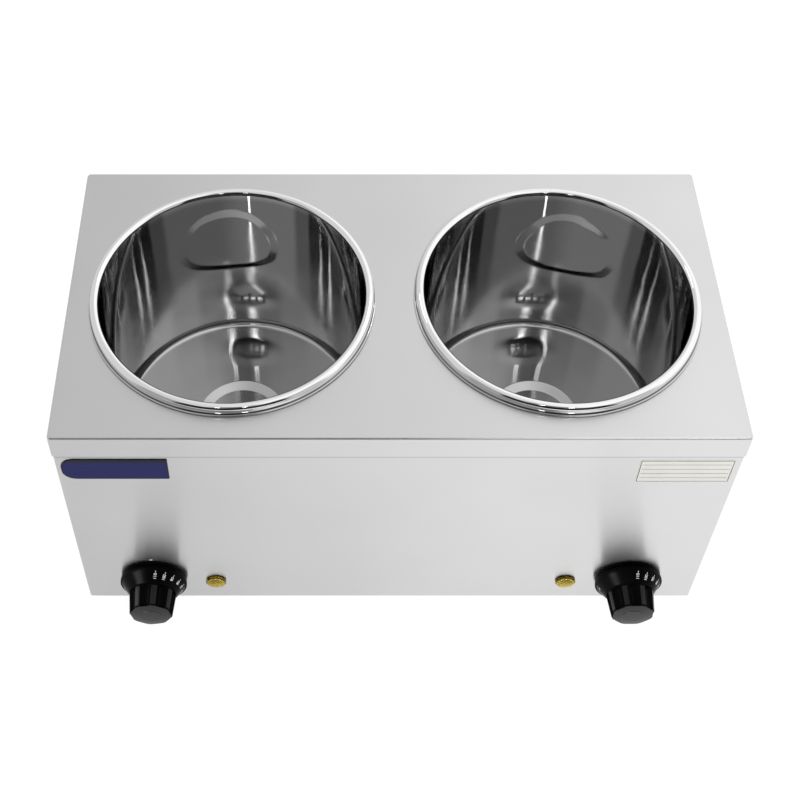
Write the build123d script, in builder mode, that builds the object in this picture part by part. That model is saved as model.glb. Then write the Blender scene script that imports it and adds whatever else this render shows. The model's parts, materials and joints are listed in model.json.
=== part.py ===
from build123d import *
from math import asin, cos, radians, sin, tan
import os

os.makedirs("parts", exist_ok=True)

# Twin round-well soup warmer, millimetres. +Z is up and -Y is the control side.
# The origin is at the middle of the overall box, on the surface the feet stand on.

# Casing
width = 540.0                # over the deck's turned-down lip
depth = 280.0                # over the deck's turned-down lip
case_height = 258.0          # lower edge of the casing to the deck's upper face
sheet = 1.0                  # stainless sheet of deck, wrapper, rear panel and base
lip_height = 25.0            # turned-down lip of the deck
lip_gap = 0.2                # play between the lip and the panels inside it
corner_r = 3.2               # upright corners of the deck
bend_r = 2.0                 # outside radius of the deck's folded edge
shell_bend_r = 1.6           # outside radius of the wrapper's folds
flange = 14.0                # return flanges of the wrapper
screw_inset = 8.0            # flange screws from the wrapper's outside
panel_play = 2.0             # rear panel stops this short of its neighbours
base_inset = 3.0             # base plate edge inside the wrapper's edge

# Feet and fasteners
foot_height = 14.0
foot_r = 14.0
foot_draft = 1.5             # the foot is this much slimmer at the bottom
foot_inset = 38.0            # foot centre from the casing's sides
foot_pocket = 8.0            # depth of the screw pocket in a foot
pocket_play = 1.0            # pocket around the screw's head
play = 0.1                   # radial play of a fastener in its hole
m4_r = 2.0
m4_head_r = 3.6
m4_head_h = 2.3
m5_r = 2.5
m5_head_r = 4.6
m5_head_h = 3.0
m6_r = 3.0
m4_nut = (3.5, 3.2)          # hexagon apothem and height
m5_nut = (4.0, 4.0)
m6_nut = (5.0, 5.0)
deck_stud_length = 8.0
panel_screw_length = 8.0
foot_screw_reach = 7.0       # foot screw standing above the base plate

# Wells
well_pitch = 268.0           # between the two well axes
well_shift = -2.0            # well axes from the middle of the deck, to the front
well_r = 109.5               # inner wall
well_sheet = 0.9
well_depth = 176.0           # deck's upper face to the well floor
well_corner_r = 5.5          # wall to floor
ring_outer_r = 40.5          # conical step in the floor
ring_inner_r = 33.0
ring_sink = 3.0              # central disc below the floor
rim_height = 9.0             # top of the rolled rim above the deck
bead_r = 3.7                 # rolled rim, outside radius
flare_r = 1.0                # foot of the rim, inside curve
rim_foot = 1.5               # foot of the rim beyond the roll
neck_gap = 1.2               # deck hole around the well's neck
seal_height = 0.6
seal_inset = 0.4             # seal edge inside the rim's foot
clip_sheet = 1.5
clip_width = 16.0
clip_drop = 20.0
clip_reach = 12.0
clip_angles = (45, 135, 225, 315)

# Heating
element_r = 4.0              # tubular element
element_ring_r = 70.0        # its centre line
element_gap = 25.0           # half of the open angle, degrees
element_bend_r = 10.0
element_leg = 7.0            # straight leg below the bend
element_clear = 0.1          # element below the well floor
pin_r = 1.5                  # terminal pin at each leg
pin_length = 6.0
centre_stud_length = 24.0    # below the well's sunk disc
clamp_length = 166.0
clamp_width = 18.0
clamp_sheet = 2.0
shield_r = 100.0
shield_sheet = 0.8
shield_wall = 10.0
leg_clear = 3.0              # opening of the shield around an element leg

# Thermostats and spindles
knob_inset = 62.0            # knob axis from the casing's end
knob_z = 36.0                # knob axis above the casing's lower edge
body_w = 36.0
body_h = 34.0
body_d = 26.0
plate_w = 42.0
plate_h = 30.0
plate_t = 1.5
collar_r = 4.9
collar_reach = 1.0           # collar in front of the panel
bush_depth = 14.0            # bearing length behind the collar's front
spindle_r = 3.0
spindle_play = 0.06          # radial running clearance in the bush
spindle_end_gap = 0.4
flat_depth = 1.4             # flat of the spindle's drive end
flat_lead = 1.0              # the flat starts this far behind the knob
screw_spread = 28.0          # the two thermostat screws
thermostat_screw_length = 7.0
tab_w = 6.3
tab_t = 0.8
tab_l = 8.0
tab_pitch = 12.0

# Knobs and their bezels, distances in front of the panel
bezel_r = 28.5
bezel_inner_r = 21.0
bezel_t = 2.6
bezel_edge = 0.6
peg_r = 1.5
peg_reach = 2.0              # peg behind the panel
peg_spread = 49.0
skirt_r = 29.0
skirt_edge = 0.6
skirt_back = 3.8
skirt_front = 7.0
skirt_step = 1.4             # narrow ledge inside the skirt's edge
step_rise = 0.5
cone_front = 16.5            # where the cone meets the grip
grip_base_r = 20.5
grip_front_r = 18.6
grip_front = 36.0            # edge of the front face
grip_edge_r = 1.4
dome = 1.5                   # front face stands out this much in the middle
flutes = 8
flute_r = 7.5
flute_cut = 2.2              # depth of a flute
flute_start = 1.5            # flutes start this far back from the grip's root
ridge_turn = 10.0            # first ridge, clockwise from the top, dial at 110
hub_play = 0.05              # knob bore over the spindle
hub_r = 6.2
hub_depth = 15.0
skirt_hollow_r = 25.0
skirt_hollow = 2.2
grip_hollow_r = 13.0
grip_hollow_end = 31.0
knob_turn = {"left": 0.0, "right": 12.0}   # clockwise beyond the 110 mark, degrees

# Pilot lamps
pilot_pitch = 54.0           # lamp axis from the knob's, towards the middle
pilot_z = 30.0               # lamp axis above the casing's lower edge
lamp_ring_r = 8.9
lamp_ring_wall = 0.7
lamp_ring_front = 1.8
lens_seat = 0.4
lens_play = 0.05
lens_edge = 2.6              # edge of the lens in front of the panel
lens_dome = 2.2
barrel_r = 6.0
barrel_bore_r = 4.5
barrel_length = 24.0         # behind the panel's front face
barrel_end = 3.0
clip_ring_r = 9.5
clip_ring_t = 0.8
lamp_tab_pitch = 8.0
lamp_tab_w = 4.8

# Sensor bulb and over-temperature cut-out, both on the well's wall
bulb_r = 3.2
bulb_length = 80.0
bulb_angle = 315.0           # about the right well's axis; the left is its mirror
bulb_lift = 14.0             # lower end above the well floor
wall_clear = 0.1             # bulb and cut-out clear of the curved wall
capillary_r = 1.0
capillary_bend_r = 6.0
strap_t = 0.8
strap_w = 10.0
strap_ear = 8.0
strap_shares = (0.25, 0.75)  # strap places along the bulb
cutout_angle = 45.0
cutout_r = 8.0
cutout_t = 9.0
cutout_lift = 20.0           # axis above the well floor
cutout_plate_w = 26.0
cutout_plate_h = 12.0
cutout_plate_t = 1.2
cutout_tab_pitch = 8.0

# Terminal block, earth stud and cable gland
block_w = 68.0
block_d = 20.0
block_h = 18.0
block_back = 52.0            # block's middle in front of the rear panel
block_screw_inset = 4.5
block_screw_length = 9.0
pole_pitch = 11.0
pole_r = 1.7
pole_depth = 7.0
pole_z = 9.0
earth_x = 72.0
earth_length = 16.0
earth_flange_r = 5.5
earth_flange_t = 1.0
gland_inset = 80.0           # gland axis from the casing's right end
gland_z = 40.0               # gland axis above the casing's lower edge
gland_bore_r = 4.25
gland_thread_r = 8.0
gland_flange_r = 12.5
gland_flange_t = 2.0
gland_hex = (10.5, 7.0)      # apothem and length
gland_cap_r = 9.8
gland_cap_edge = 2.0
gland_inside = 12.0          # thread behind the rear panel's outer face
gland_reach = 20.0           # gland behind the rear panel's outer face
locknut = (11.5, 4.0)

# Internal wires
wire_r = 1.2
wire_bend_r = 8.0
wire_tail = 20.0             # straight stretch behind a tab
wire_step = 8.0              # between neighbouring runs

# Plates on the front panel
badge_w = 84.0
badge_h = 28.0
badge_t = 0.8
badge_corner_r = 11.0
badge_inset = 47.5           # badge's middle from the casing's left end
badge_drop = 30.0            # top edge below the deck
label_w = 74.0
label_h = 31.0
label_t = 0.3
label_corner_r = 1.0
label_inset = 44.0           # label's middle from the casing's right end
label_drop = 32.0

# Ventilation slots
vent_length = 30.0
vent_width = 4.0
vent_pitch_x = 42.0
vent_pitch_y = 11.0
rear_vent_columns = 7
rear_vent_rows = 4
base_vent_columns = 6
base_vent_rows = 5

# Places that follow from the sizes
tuck = sheet + lip_gap                       # deck's outside to the wrapper's outside
front_reach = grip_front + dome              # knob in front of the front panel
case_y = (front_reach - gland_reach) / 2     # centres the overall box
base_z = foot_height
case_z = base_z + sheet
deck_z = case_z + case_height
under_deck_z = deck_z - sheet
shell_w = width - 2 * tuck
front_y = case_y - depth / 2 + tuck          # outer face of the front panel
inside_front_y = front_y + sheet
rear_y = case_y + depth / 2 - tuck           # outer face of the rear panel
shell_rear_y = rear_y - sheet
shell_d = shell_rear_y - front_y
shell_y = (shell_rear_y + front_y) / 2
shell_h = under_deck_z - case_z
shell_corner_r = corner_r - tuck
well_y = case_y + well_shift
floor_z = deck_z - well_depth
neck_r = well_r + well_sheet
deck_hole_r = neck_r + neck_gap
foot_top_z = deck_z + seal_height + well_sheet
rim_outer_r = well_r + 2 * bead_r
rim_foot_r = rim_outer_r + rim_foot
bead_z = deck_z + rim_height - bead_r
disc_under_z = floor_z - ring_sink - well_sheet
element_z = floor_z - well_sheet - element_r - element_clear
clamp_z = element_z - element_r - clamp_sheet
shield_z = clamp_z - m6_nut[1] - shield_sheet
knob_axis_z = case_z + knob_z
pilot_axis_z = case_z + pilot_z
gland_axis_z = case_z + gland_z
body_rear_y = inside_front_y + plate_t + body_d
tab_end_y = body_rear_y + tab_l
lamp_tab_end_y = front_y + barrel_length + tab_l
block_y = rear_y - block_back
pole_axis_z = case_z + pole_z
edge_x = shell_w / 2 - screw_inset
badge_x = badge_inset - width / 2
label_x = width / 2 - label_inset
gland_x = width / 2 - gland_inset

sides = (("left", -1), ("right", 1))
well_axes = {side: (sx * well_pitch / 2, well_y) for side, sx in sides}
knob_axes = {side: sx * (width / 2 - knob_inset) for side, sx in sides}
pilot_axes = {side: sx * (width / 2 - knob_inset - pilot_pitch) for side, sx in sides}
flange_points = [
    (x, y)
    for x in (-edge_x, 0, edge_x)
    for y in (front_y + screw_inset, shell_rear_y - screw_inset)
]
rear_screw_points = [(x, case_z + screw_inset) for x in (-width / 6, width / 6)] + [
    (x, z)
    for x in (-edge_x, edge_x)
    for z in (case_z + 3 * screw_inset, case_z + case_height / 2, deck_z - lip_height - screw_inset)
]
foot_points = [
    (sx * (width / 2 - foot_inset), case_y + sy * (depth / 2 - foot_inset))
    for sx in (-1, 1)
    for sy in (-1, 1)
]
block_screw_points = [
    (-block_w / 2 + block_screw_inset, block_y),
    (block_w / 2 - block_screw_inset, block_y),
]
on_floor = (Align.CENTER, Align.CENTER, Align.MIN)


def facing_front(x, y, z):
    """Plane seen from the control side: local y is up and a positive extrude goes to -Y."""
    return Plane(origin=(x, y, z), x_dir=(1, 0, 0), z_dir=(0, -1, 0))


def facing_rear(x, y, z):
    """Plane seen from the rear: local y is up and a positive extrude goes to +Y."""
    return Plane(origin=(x, y, z), x_dir=(-1, 0, 0), z_dir=(0, 1, 0))


def facing_down(z):
    """Plane seen from below: local y is -Y and a positive extrude goes down."""
    return Plane(origin=(0, 0, z), x_dir=(1, 0, 0), z_dir=(0, 0, -1))


def through_axis(x, z):
    """Plane through a control's axis: local x is the radius, local y the way to the front."""
    return Plane(origin=(x, front_y, z), x_dir=(1, 0, 0), z_dir=(0, 0, -1))


def radial(x, y, angle):
    """Upright plane through a well's axis: local x is the radius, local y is up."""
    a = radians(angle)
    return Plane(origin=(x, y, 0), x_dir=(cos(a), sin(a), 0), z_dir=(sin(a), -cos(a), 0))


def polar(x, y, r, angle):
    """Point of a circle in the plane."""
    return (x + r * cos(radians(angle)), y + r * sin(radians(angle)))


def side_angle(angle, sx):
    """Angle about a well's axis, mirrored for the left side."""
    return angle if sx > 0 else 180 - angle


def pair(x, y, spread):
    """Two points side by side."""
    return [(x - spread / 2, y), (x + spread / 2, y)]


def below(points):
    """Points as a plane seen from below has them."""
    return [(x, -y) for x, y in points]


def rounded_block(w, d, h, y, z, upright_r, fold_r, both_ends):
    """Block with rounded upright corners and folded upper edges, and lower ones if asked."""
    with BuildPart() as block:
        with BuildSketch(Plane.XY.offset(z)):
            with Locations((0, y)):
                RectangleRounded(w, d, upright_r)
        extrude(amount=h)
        fillet(block.faces().sort_by(Axis.Z)[-1].edges(), fold_r)
        if both_ends:
            fillet(block.faces().sort_by(Axis.Z)[0].edges(), fold_r)
    return block.part


def nuts(z, points, size, hole_r):
    """Hexagon nuts in one group, their lower faces at z."""
    with BuildPart() as group:
        with BuildSketch(Plane.XY.offset(z)):
            with Locations(*points):
                RegularPolygon(size[0], 6, major_radius=False)
                Circle(hole_r, mode=Mode.SUBTRACT)
        extrude(amount=size[1])
    return group.part


def pan_screws(plane, points, shank_r, head_r, head_h, length):
    """Pan-head screws in one group: heads in front of the plane, shanks behind it."""
    with BuildPart() as group:
        with BuildSketch(plane):
            with Locations(*points):
                Circle(head_r)
        extrude(amount=head_h)
        crowns = group.edges().sort_by(Axis(plane.origin, plane.z_dir))[-len(points):]
        fillet(crowns, head_h / 3)
        with BuildSketch(plane):
            with Locations(*points):
                Circle(shank_r)
        extrude(amount=-length)
    return group.part


def bend_radii(points, largest):
    """Bend radius at each corner of a route, limited by the shorter of its two runs."""
    radii = []
    for before, corner, after in zip(points, points[1:], points[2:]):
        run_in = Vector(*corner) - Vector(*before)
        run_out = Vector(*after) - Vector(*corner)
        half_turn = radians(run_in.get_angle(run_out)) / 2
        shorter = min(run_in.length, run_out.length)
        radii.append(min(largest, 0.45 * shorter / tan(half_turn)))
    return radii


def tube(points, r, bend):
    """Round wire along straight runs joined by tangent arcs."""
    with BuildPart() as lead:
        with BuildLine() as route:
            FilletPolyline(*points, radius=bend_radii(points, bend))
        with BuildSketch(Plane(origin=route.line @ 0, z_dir=route.line % 0)):
            Circle(r)
        sweep()
    return lead.part


# Deck with its lip, the two well openings and weld studs underneath
deck_block = rounded_block(
    width, depth, lip_height, case_y, deck_z - lip_height, corner_r, bend_r, False
)
deck_hollow = rounded_block(
    width - 2 * sheet,
    depth - 2 * sheet,
    lip_height - sheet,
    case_y,
    deck_z - lip_height,
    corner_r - sheet,
    bend_r - sheet,
    False,
)
with BuildPart() as top_deck:
    add(deck_block)
    add(deck_hollow, mode=Mode.SUBTRACT)
    with BuildSketch(Plane.XY.offset(under_deck_z)):
        with Locations(*well_axes.values()):
            Circle(deck_hole_r)
    extrude(amount=sheet, mode=Mode.SUBTRACT)
    with BuildSketch(Plane.XY.offset(under_deck_z)):
        with Locations(*flange_points):
            Circle(m4_r)
    extrude(amount=-deck_stud_length)
top_deck.part.label = "top_deck"
export_step(top_deck.part, "parts/top_deck.step")

deck_nuts = nuts(under_deck_z - sheet - m4_nut[1], flange_points, m4_nut, m4_r + play / 2)
deck_nuts.label = "deck_nuts"
export_step(deck_nuts, "parts/deck_nuts.step")

# Wrapper: front and both sides in one sheet, with return flanges all round
shell_block = rounded_block(
    shell_w, shell_d, shell_h, shell_y, case_z, shell_corner_r, shell_bend_r, True
)
shell_hollow = rounded_block(
    shell_w - 2 * sheet,
    shell_d - 2 * sheet,
    shell_h - 2 * sheet,
    shell_y,
    case_z + sheet,
    shell_corner_r - sheet,
    shell_bend_r - sheet,
    True,
)
with BuildPart() as body_wrapper:
    add(shell_block)
    add(shell_hollow, mode=Mode.SUBTRACT)
    with BuildSketch(Plane.XY.offset(case_z)):
        with Locations((0, shell_y)):
            Rectangle(shell_w - 2 * flange, shell_d - 2 * flange)
    extrude(amount=shell_h, mode=Mode.SUBTRACT)
    with BuildSketch(facing_rear(0, shell_rear_y, case_z + shell_h / 2)):
        Rectangle(shell_w - 2 * flange, shell_h - 2 * flange)
    extrude(amount=-2 * sheet, mode=Mode.SUBTRACT)
    with BuildSketch(Plane.XY.offset(under_deck_z)):
        with Locations(*flange_points):
            Circle(m4_r + play)
    extrude(amount=-2 * sheet, mode=Mode.SUBTRACT)
    with BuildSketch(Plane.XY.offset(case_z)):
        with Locations(*flange_points):
            Circle(m4_r + play / 2)
    extrude(amount=2 * sheet, mode=Mode.SUBTRACT)
    with BuildSketch(facing_rear(0, shell_rear_y, 0)):
        with Locations(*rear_screw_points):
            Circle(m4_r + play / 2)
    extrude(amount=-2 * sheet, mode=Mode.SUBTRACT)
    with BuildSketch(facing_front(0, inside_front_y, 0)):
        for x in knob_axes.values():
            with Locations((x, knob_axis_z)):
                Circle(collar_r + play)
            with Locations(*pair(x, knob_axis_z, screw_spread)):
                Circle(m4_r + play)
            with Locations(*pair(x, knob_axis_z, peg_spread)):
                Circle(peg_r + play)
        for x in pilot_axes.values():
            with Locations((x, pilot_axis_z)):
                Circle(barrel_r + play)
    extrude(amount=sheet, mode=Mode.SUBTRACT)
body_wrapper.part.label = "body_wrapper"
export_step(body_wrapper.part, "parts/body_wrapper.step")

# Rear panel with ventilation slots and the gland's hole
rear_low_z = case_z + panel_play
rear_high_z = under_deck_z - panel_play
rear_mid_z = (rear_low_z + rear_high_z) / 2
with BuildPart() as rear_panel:
    with BuildSketch(facing_rear(0, shell_rear_y, 0)):
        with Locations((0, rear_mid_z)):
            RectangleRounded(shell_w - 2 * panel_play, rear_high_z - rear_low_z, shell_bend_r)
        with Locations((0, rear_mid_z)):
            with GridLocations(vent_pitch_x, vent_pitch_y, rear_vent_columns, rear_vent_rows):
                SlotOverall(vent_length, vent_width, mode=Mode.SUBTRACT)
        with Locations(*rear_screw_points):
            Circle(m4_r + play, mode=Mode.SUBTRACT)
        with Locations((-gland_x, gland_axis_z)):
            Circle(gland_thread_r + play, mode=Mode.SUBTRACT)
    extrude(amount=sheet)
rear_panel.part.label = "rear_panel"
export_step(rear_panel.part, "parts/rear_panel.step")

rear_panel_screws = pan_screws(
    facing_rear(0, rear_y, 0), rear_screw_points, m4_r, m4_head_r, m4_head_h, panel_screw_length
)
rear_panel_screws.label = "rear_panel_screws"
export_step(rear_panel_screws, "parts/rear_panel_screws.step")

# Base plate under the wrapper's lower flange
with BuildPart() as base_plate:
    with BuildSketch(Plane.XY.offset(base_z)):
        with Locations((0, shell_y)):
            RectangleRounded(shell_w - 2 * base_inset, shell_d - 2 * base_inset, shell_bend_r)
        with Locations((0, well_y)):
            with GridLocations(vent_pitch_x, vent_pitch_y, base_vent_columns, base_vent_rows):
                SlotOverall(vent_length, vent_width, mode=Mode.SUBTRACT)
        with Locations(*flange_points, *block_screw_points):
            Circle(m4_r + play, mode=Mode.SUBTRACT)
        with Locations(*foot_points):
            Circle(m5_r + play, mode=Mode.SUBTRACT)
    extrude(amount=sheet)
base_plate.part.label = "base_plate"
export_step(base_plate.part, "parts/base_plate.step")

base_screws = pan_screws(
    facing_down(base_z), below(flange_points), m4_r, m4_head_r, m4_head_h, panel_screw_length
)
base_screws.label = "base_screws"
export_step(base_screws, "parts/base_screws.step")

# Rubber feet with a screw pocket, their screws and nuts
with BuildPart() as rubber_feet:
    with Locations(*[(x, y, 0) for x, y in foot_points]):
        Cone(foot_r - foot_draft, foot_r, foot_height, align=on_floor)
        Cylinder(m5_head_r + pocket_play, foot_pocket, align=on_floor, mode=Mode.SUBTRACT)
        Cylinder(m5_r + play, foot_height, align=on_floor, mode=Mode.SUBTRACT)
rubber_feet.part.label = "rubber_feet"
export_step(rubber_feet.part, "parts/rubber_feet.step")

foot_screws = pan_screws(
    facing_down(foot_pocket),
    below(foot_points),
    m5_r,
    m5_head_r,
    m5_head_h,
    case_z + foot_screw_reach - foot_pocket,
)
foot_screws.label = "foot_screws"
export_step(foot_screws, "parts/foot_screws.step")

foot_nuts = nuts(case_z, foot_points, m5_nut, m5_r + play / 2)
foot_nuts.label = "foot_nuts"
export_step(foot_nuts, "parts/foot_nuts.step")


def well_section():
    """Sheet section of a well: down the inside, over the rolled rim, and back outside."""
    wall_low = floor_z + well_corner_r
    corner_x = well_r - well_corner_r
    flare_x = rim_outer_r + flare_r
    flare_z = foot_top_z + flare_r
    rim_inside_r = rim_outer_r - well_sheet
    under_foot_z = foot_top_z - well_sheet
    with BuildLine() as section:
        Polyline(
            (0, floor_z - ring_sink),
            (ring_inner_r, floor_z - ring_sink),
            (ring_outer_r, floor_z),
            (corner_x, floor_z),
        )
        ThreePointArc(
            (corner_x, floor_z), polar(corner_x, wall_low, well_corner_r, -45), (well_r, wall_low)
        )
        Line((well_r, wall_low), (well_r, bead_z))
        ThreePointArc(
            (well_r, bead_z), (well_r + bead_r, bead_z + bead_r), (rim_outer_r, bead_z)
        )
        Line((rim_outer_r, bead_z), (rim_outer_r, flare_z))
        ThreePointArc(
            (rim_outer_r, flare_z), polar(flare_x, flare_z, flare_r, -135), (flare_x, foot_top_z)
        )
        Polyline(
            (flare_x, foot_top_z),
            (rim_foot_r, foot_top_z),
            (rim_foot_r, under_foot_z),
            (flare_x, under_foot_z),
        )
        ThreePointArc(
            (flare_x, under_foot_z),
            polar(flare_x, flare_z, flare_r + well_sheet, -135),
            (rim_inside_r, flare_z),
        )
        Line((rim_inside_r, flare_z), (rim_inside_r, bead_z))
        ThreePointArc(
            (rim_inside_r, bead_z),
            (well_r + bead_r, bead_z + bead_r - well_sheet),
            (neck_r, bead_z),
        )
        Line((neck_r, bead_z), (neck_r, wall_low))
        ThreePointArc(
            (neck_r, wall_low),
            polar(corner_x, wall_low, well_corner_r + well_sheet, -45),
            (corner_x, floor_z - well_sheet),
        )
        Polyline(
            (corner_x, floor_z - well_sheet),
            (ring_outer_r, floor_z - well_sheet),
            (ring_inner_r, disc_under_z),
            (0, disc_under_z),
            (0, floor_z - ring_sink),
        )
    return section.line.edges()


def element_end(wx, wy, angle, away):
    """Ring end, bend middle, knee and tip of one element leg; away points into the gap."""
    a = radians(angle)
    along = Vector(-sin(a), cos(a), 0) * away
    ring_end = Vector(*polar(wx, wy, element_ring_r, angle), element_z)
    centre = ring_end - Vector(0, 0, element_bend_r)
    middle = centre + (along + Vector(0, 0, 1)).normalized() * element_bend_r
    knee = centre + along * element_bend_r
    return ring_end, middle, knee, knee - Vector(0, 0, element_leg)


# Wells, with the parts that seal, hold and heat them
pins = {}
cutout_tabs = {}
for side, sx in sides:
    wx, wy = well_axes[side]

    with BuildPart() as well:
        with BuildSketch(radial(wx, wy, 0)):
            make_face(well_section())
        revolve(axis=Axis((wx, wy, 0), (0, 0, 1)))
        with BuildSketch(Plane.XY.offset(disc_under_z)):
            with Locations((wx, wy)):
                Circle(m6_r)
        extrude(amount=-centre_stud_length)
    well.part.label = f"well_{side}"
    export_step(well.part, f"parts/well_{side}.step")

    with BuildPart() as rim_seal:
        with BuildSketch(Plane.XY.offset(deck_z)):
            with Locations((wx, wy)):
                Circle(rim_foot_r - seal_inset)
                Circle(deck_hole_r + seal_inset, mode=Mode.SUBTRACT)
        extrude(amount=seal_height)
    rim_seal.part.label = f"rim_seal_{side}"
    export_step(rim_seal.part, f"parts/rim_seal_{side}.step")

    # Brackets welded to the neck that bear on the deck from below
    with BuildPart() as well_clips:
        for angle in clip_angles:
            with BuildSketch(radial(wx, wy, angle)):
                with BuildLine():
                    Polyline(
                        (neck_r, under_deck_z),
                        (neck_r + clip_reach, under_deck_z),
                        (neck_r + clip_reach, under_deck_z - clip_sheet),
                        (neck_r + clip_sheet, under_deck_z - clip_sheet),
                        (neck_r + clip_sheet, under_deck_z - clip_drop),
                        (neck_r, under_deck_z - clip_drop),
                        close=True,
                    )
                make_face()
            extrude(amount=clip_width / 2, both=True)
    well_clips.part.label = f"well_clips_{side}"
    export_step(well_clips.part, f"parts/well_clips_{side}.step")

    # Tubular element: an open ring under the floor whose ends turn down into two legs
    leg_a = element_end(wx, wy, 270 + element_gap, -1)
    leg_b = element_end(wx, wy, 270 - element_gap, 1)
    with BuildPart() as heater:
        with BuildLine():
            Line(leg_a[3], leg_a[2])
            ThreePointArc(leg_a[2], leg_a[1], leg_a[0])
            ThreePointArc(leg_a[0], (wx, wy + element_ring_r, element_z), leg_b[0])
            ThreePointArc(leg_b[0], leg_b[1], leg_b[2])
            Line(leg_b[2], leg_b[3])
        with BuildSketch(Plane(origin=leg_a[3], z_dir=(0, 0, 1))):
            Circle(element_r)
        sweep()
        with BuildSketch(Plane.XY.offset(leg_a[3].Z)):
            with Locations((leg_a[3].X, leg_a[3].Y), (leg_b[3].X, leg_b[3].Y)):
                Circle(pin_r)
        extrude(amount=-pin_length)
    heater.part.label = f"heater_{side}"
    export_step(heater.part, f"parts/heater_{side}.step")
    pins[side] = sorted([leg_a[3], leg_b[3]], key=lambda leg: abs(leg.X))

    # Clamp bar that presses the element to the floor, and the heat shield below it
    with BuildPart() as heater_clamp:
        with BuildSketch(Plane.XY.offset(clamp_z)):
            with Locations((wx, wy)):
                SlotOverall(clamp_length, clamp_width)
                Circle(m6_r + play, mode=Mode.SUBTRACT)
        extrude(amount=clamp_sheet)
    heater_clamp.part.label = f"heater_clamp_{side}"
    export_step(heater_clamp.part, f"parts/heater_clamp_{side}.step")

    with BuildPart() as heat_shield:
        with BuildSketch(Plane.XY.offset(shield_z)):
            with Locations((wx, wy)):
                Circle(shield_r)
        extrude(amount=shield_wall)
        with BuildSketch(Plane.XY.offset(shield_z + shield_sheet)):
            with Locations((wx, wy)):
                Circle(shield_r - shield_sheet)
        extrude(amount=shield_wall, mode=Mode.SUBTRACT)
        with BuildSketch(Plane.XY.offset(shield_z)):
            with Locations((wx, wy)):
                Circle(m6_r + play)
            with Locations((leg_a[3].X, leg_a[3].Y), (leg_b[3].X, leg_b[3].Y)):
                Circle(element_r + leg_clear)
        extrude(amount=shield_sheet, mode=Mode.SUBTRACT)
    heat_shield.part.label = f"heat_shield_{side}"
    export_step(heat_shield.part, f"parts/heat_shield_{side}.step")

    # Sensor bulb along the well's wall, with its capillary up from the thermostat
    bulb_at = side_angle(bulb_angle, sx)
    bulb_x, bulb_y = polar(wx, wy, neck_r + bulb_r + wall_clear, bulb_at)
    bulb_z = floor_z + bulb_lift
    capillary_x = knob_axes[side]
    capillary_y = inside_front_y + plate_t + body_d / 2
    body_top_z = knob_axis_z + body_h / 2
    capillary = tube(
        [
            (capillary_x, capillary_y, body_top_z),
            (capillary_x, capillary_y, body_top_z + 2 * capillary_bend_r),
            (bulb_x, bulb_y, bulb_z - 2 * capillary_bend_r),
            (bulb_x, bulb_y, bulb_z),
        ],
        capillary_r,
        capillary_bend_r,
    )
    with BuildPart() as sensor_bulb:
        add(capillary)
        with BuildSketch(Plane.XY.offset(bulb_z)):
            with Locations((bulb_x, bulb_y)):
                Circle(bulb_r)
        extrude(amount=bulb_length)
    sensor_bulb.part.label = f"sensor_bulb_{side}"
    export_step(sensor_bulb.part, f"parts/sensor_bulb_{side}.step")

    # Straps round the bulb, their ears welded to the wall; local y points at the wall
    a = radians(bulb_at)
    bulb_frame = Plane(
        origin=(bulb_x, bulb_y, bulb_z), x_dir=(-sin(a), cos(a), 0), z_dir=(0, 0, 1)
    )
    wall_at = bulb_r + wall_clear
    strap_inner_r = bulb_r + play
    strap_outer_r = strap_inner_r + strap_t
    with BuildPart() as bulb_straps:
        for share in strap_shares:
            with BuildSketch(bulb_frame.offset(bulb_length * share - strap_w / 2)):
                Circle(strap_outer_r)
                with Locations((0, wall_at / 2)):
                    Rectangle(2 * strap_outer_r, wall_at)
                with Locations((0, wall_at - strap_t / 2)):
                    Rectangle(2 * (strap_outer_r + strap_ear), strap_t)
                Circle(strap_inner_r, mode=Mode.SUBTRACT)
                with Locations((0, wall_at / 2)):
                    Rectangle(2 * strap_inner_r, wall_at, mode=Mode.SUBTRACT)
                with Locations((0, wall_at + strap_outer_r)):
                    Rectangle(4 * strap_outer_r, 2 * strap_outer_r, mode=Mode.SUBTRACT)
            extrude(amount=strap_w)
    bulb_straps.part.label = f"bulb_straps_{side}"
    export_step(bulb_straps.part, f"parts/bulb_straps_{side}.step")

    # Over-temperature cut-out: a disc thermostat on a plate, its two tabs pointing down
    a = radians(side_angle(cutout_angle, sx))
    out = Vector(cos(a), sin(a), 0)
    tangent = Vector(-sin(a), cos(a), 0)
    cutout_axis = Vector(wx, wy, floor_z + cutout_lift)
    plate_face = cutout_axis + out * (neck_r + wall_clear)
    cutout_frame = Plane(origin=plate_face, x_dir=tangent, z_dir=out)
    cutout_mid = cutout_axis + out * (neck_r + wall_clear + cutout_plate_t + cutout_t / 2)
    tab_high_z = cutout_mid.Z - cutout_r / 2
    tab_low_z = cutout_mid.Z - cutout_r - tab_l
    tab_frame = Plane(
        origin=(cutout_mid.X, cutout_mid.Y, tab_low_z), x_dir=tangent, z_dir=(0, 0, 1)
    )
    with BuildPart() as cutout:
        with BuildSketch(cutout_frame):
            SlotOverall(cutout_plate_w, cutout_plate_h)
        extrude(amount=cutout_plate_t)
        with BuildSketch(cutout_frame.offset(cutout_plate_t)):
            Circle(cutout_r)
        extrude(amount=cutout_t)
        with BuildSketch(tab_frame):
            with Locations(*pair(0, 0, cutout_tab_pitch)):
                Rectangle(tab_t, tab_w)
        extrude(amount=tab_high_z - tab_low_z)
    cutout.part.label = f"cutout_{side}"
    export_step(cutout.part, f"parts/cutout_{side}.step")
    tips = [
        Vector(cutout_mid.X, cutout_mid.Y, tab_low_z) + tangent * (cutout_tab_pitch / 2 * way)
        for way in (-1, 1)
    ]
    cutout_tabs[side] = sorted(tips, key=lambda tip: abs(tip.X))

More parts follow.
